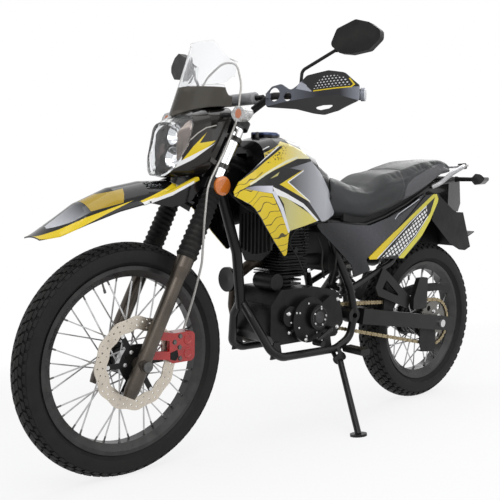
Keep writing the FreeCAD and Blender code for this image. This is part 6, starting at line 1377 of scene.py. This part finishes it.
def engine_dress():
    """Bolts, a ringed round cover, the ignition cap and lead, cables and a breather hose."""
    case = ["engine_crankcase"]
    bolts, rings, wires = Shape(), Shape(), Shape()
    for x, z in CASE_BOLTS:
        y = surface_y(x, z, case, 0.0)
        if y > CASE_LEAST_REACH:
            bolts.nut(Vector((x, y - 0.5, z)), LEFTWARD, 10.0, 6.0)
    for x, z, radius, count in CAP_RINGS:
        for index in range(count):
            across, rise = polar(radius, FULL * index / count + 0.5)
            y = surface_y(x + across, z + rise, case, 0.0)
            bolts.cap_screw(Vector((x + across, y - 0.4, z + rise)), LEFTWARD, 7.0, 3.5)
    centre = Vector((COVER[0], surface_y(*COVER, case, 120.0) - 0.4, COVER[1]))
    rings.turned(centre, LEFTWARD, [(0, 31), (1.8, 31.6), (1.8, 34.4), (0, 35)], 48)
    rings.turned(centre, LEFTWARD, [(0, 0), (1.4, 0), (1.4, 20), (0, 21)], 40)
    bolts.make("engine_bolts", ALLOY, "root", bevel=0.3)
    rings.make("cover_rings", COVER_GREY, "root", bevel=0.3)
    for radius, points in LEADS:
        wires.tube(curve_points([Vector(point) for point in points], 6), radius)
    wires.make("engine_leads", RUBBER, "root")
    cap = [(0, 0), (0, 8), (14, 9), (18, 6), (26, 5.4), (26, 0)]
    Shape().turned(Vector((812, 70, 664)), (0.4, 0.8, 0.3), cap, 20).make("plug_cap", RUBBER, "root")
    y = surface_y(*CHAIN_PLUG, ["engine_cylinder", "engine_crankcase"], 80.0)
    plug = Shape().cap_screw(Vector((CHAIN_PLUG[0], max(y, 74.0), CHAIN_PLUG[1])), LEFTWARD, 16.0, 8.0)
    plug.make("camchain_plug", CHROME, "root", bevel=0.3)


def inner_panel():
    """The ribbed black air guide in front of the cylinder head, closed behind the yellow fins."""
    guide = Shape().prism([Vector((GUIDE_FACE, y, z)) for y, z in GUIDE_OUTLINE],
                          Vector((GUIDE_WALL, 0.0, 0.0)))
    for step in range(GUIDE_RIBS):
        y = GUIDE_RIB_START + step * GUIDE_RIB_PITCH
        guide.block((892.0, y, 704.0), (7.0, 4.0, 150.0 - abs(y + 10.0) * 0.5))
    guide.make("air_guide", MOULDED, "root", bevel=0.8)


def tail_parts():
    """The seat's plastic base, thicker lamp stalks, the carrier's end bracket and the flap's small frame."""
    base = Shape().prism(upright(SEAT_BASE_OUTLINE, 84.0), LEFTWARD * 5.0)
    base.mirrored().make("seat_base", MOULDED, "root", bevel=1.0)
    stalks = Shape().turned(Vector((-152.0, 62.0, 900.0)), LEFTWARD,
                            [(0, 0), (0, 12), (8, 12), (14, 9), (92, 8.4), (104, 11), (112, 11), (112, 0)],
                            20)
    stalks.mirrored().make("lamp_stalks", MOULDED, "root", bevel=0.5)
    bracket = Shape().prism(upright(BRACKET_OUTLINE, 66.0), LEFTWARD * 6.0)
    bracket.mirrored().make("rack_brackets", MOULDED, "root", bevel=1.0)
    Shape().tube(upright(FLAP_LOOP, -20.0), 2.4, 8, True).make("flap_loop", MOULDED, "root")


def caliper_parts():
    """Piston caps, pins and the dark bridge on the red caliper."""
    caps, pins, bridge = Shape(), Shape(), Shape()
    for x, z in CALIPER_CAPS:
        caps.turned(Vector((x, surface_y(x, z, ["brake_caliper"], 87.0) - 0.4, z)), LEFTWARD,
                    [(0, 0), (0, 17), (2.4, 16), (2.4, 11), (1.2, 10), (1.2, 0)], 28)
    for x, z in CALIPER_PINS:
        pins.nut(Vector((x, surface_y(x, z, ["brake_caliper"], 87.0) - 0.4, z)), LEFTWARD, 11.0, 5.0)
    bridge.prism(upright(BRIDGE_OUTLINE, 86.2), LEFTWARD * 2.2)
    caps.make("caliper_caps", RED_PAINT, "steering", bevel=0.4)
    pins.make("caliper_pins", STEEL_DARK, "steering", bevel=0.3)
    bridge.make("caliper_bridge", ENGINE_BLACK, "steering", bevel=0.6)


cooling_fins()
engine_dress()
inner_panel()
tail_parts()
caliper_parts()


# Floor, light and background

WORLD_TINT = (0.95, 0.97, 1.0, 1.0)
WORLD_STRENGTH = 0.34
WHITE = (1.0, 1.0, 1.0, 1.0)
# Rays that meet a plain white background
CLEAR_RAYS = ("Is Camera Ray", "Is Glossy Ray", "Is Transmission Ray")
FLOOR_RADIUS = 7.0
FLOOR_FADE = (1.9, 4.2)
FLOOR_GLOW_SHARE = 0.82
# Soft lamps: name, place, what they face, size and power
LIGHTS = (("key", (2.4, 2.6, 3.2), (0.2, 0.0, 0.6), (3.2, 2.6), 92.0),
          ("top", (-0.4, 0.2, 3.6), (0.0, 0.0, 0.6), (4.2, 2.4), 56.0),
          ("side", (-1.6, 3.4, 1.5), (-0.2, 0.0, 0.6), (2.8, 2.2), 30.0),
          ("back", (-3.4, -0.9, 2.6), (0.0, 0.0, 0.7), (2.6, 1.8), 44.0))


def make_world():
    """A dim sky for the light, and plain white for what the camera, mirrors and glass see."""
    world = bpy.data.worlds.new("studio")
    bpy.context.scene.world = world
    world.use_nodes = True
    tree = world.node_tree
    tree.nodes.clear()
    blend = tree.nodes.new("ShaderNodeMixShader")
    for slot, tint, strength in ((1, WORLD_TINT, WORLD_STRENGTH), (2, WHITE, 1.0)):
        light = tree.nodes.new("ShaderNodeBackground")
        light.inputs["Color"].default_value = tint
        light.inputs["Strength"].default_value = strength
        tree.links.new(light.outputs[0], blend.inputs[slot])
    path = tree.nodes.new("ShaderNodeLightPath")
    seen = None
    for ray in CLEAR_RAYS:
        either = tree.nodes.new("ShaderNodeMath")
        either.operation = "MAXIMUM"
        either.inputs[0].default_value = 0.0
        tree.links.new(path.outputs[ray], either.inputs[1])
        if seen:
            tree.links.new(seen, either.inputs[0])
        seen = either.outputs[0]
    tree.links.new(seen, blend.inputs[0])
    tree.links.new(blend.outputs[0], tree.nodes.new("ShaderNodeOutputWorld").inputs["Surface"])


def make_floor():
    """A pale round floor whose rim fades into the background."""
    mesh = bpy.data.meshes.new("floor")
    build = bmesh.new()
    bmesh.ops.create_circle(build, cap_ends=True, segments=96, radius=FLOOR_RADIUS)
    build.to_mesh(mesh)
    build.free()
    graph = Graph("floor_pale")
    tone = graph.mix(graph.noise(40.0), *grey(0.80, 0.84))
    matte = graph.add("ShaderNodeBsdfDiffuse", Color=tone).outputs[0]
    glow = graph.add("ShaderNodeEmission", Color=WHITE, Strength=1.0).outputs[0]
    path = graph.add("ShaderNodeLightPath").outputs
    seen = graph.math("MAXIMUM", graph.math("MAXIMUM", path[CLEAR_RAYS[0]], path[CLEAR_RAYS[1]]),
                      path[CLEAR_RAYS[2]])
    lit = graph.add("ShaderNodeMixShader", i0=graph.math("MULTIPLY", seen, FLOOR_GLOW_SHARE), i1=matte,
                    i2=glow).outputs[0]
    rim = graph.ramp(graph.vector("LENGTH", graph.place, output=1), *FLOOR_FADE)
    clear = graph.add("ShaderNodeBsdfTransparent").outputs[0]
    fade = graph.add("ShaderNodeMixShader", i0=rim, i1=lit, i2=clear).outputs[0]
    graph.tree.links.new(fade, graph.output.inputs["Surface"])
    mesh.materials.append(graph.material)
    placed("floor", mesh)


def soft_light(name, place, target, size, power):
    data = bpy.data.lights.new(name, "AREA")
    data.shape = "RECTANGLE"
    data.size, data.size_y = size
    data.energy = power
    lamp = placed(name, data)
    lamp.location = place
    lamp.rotation_euler = (Vector(target) - Vector(place)).to_track_quat("-Z", "Y").to_euler()


make_world()
make_floor()
for light in LIGHTS:
    soft_light(*light)
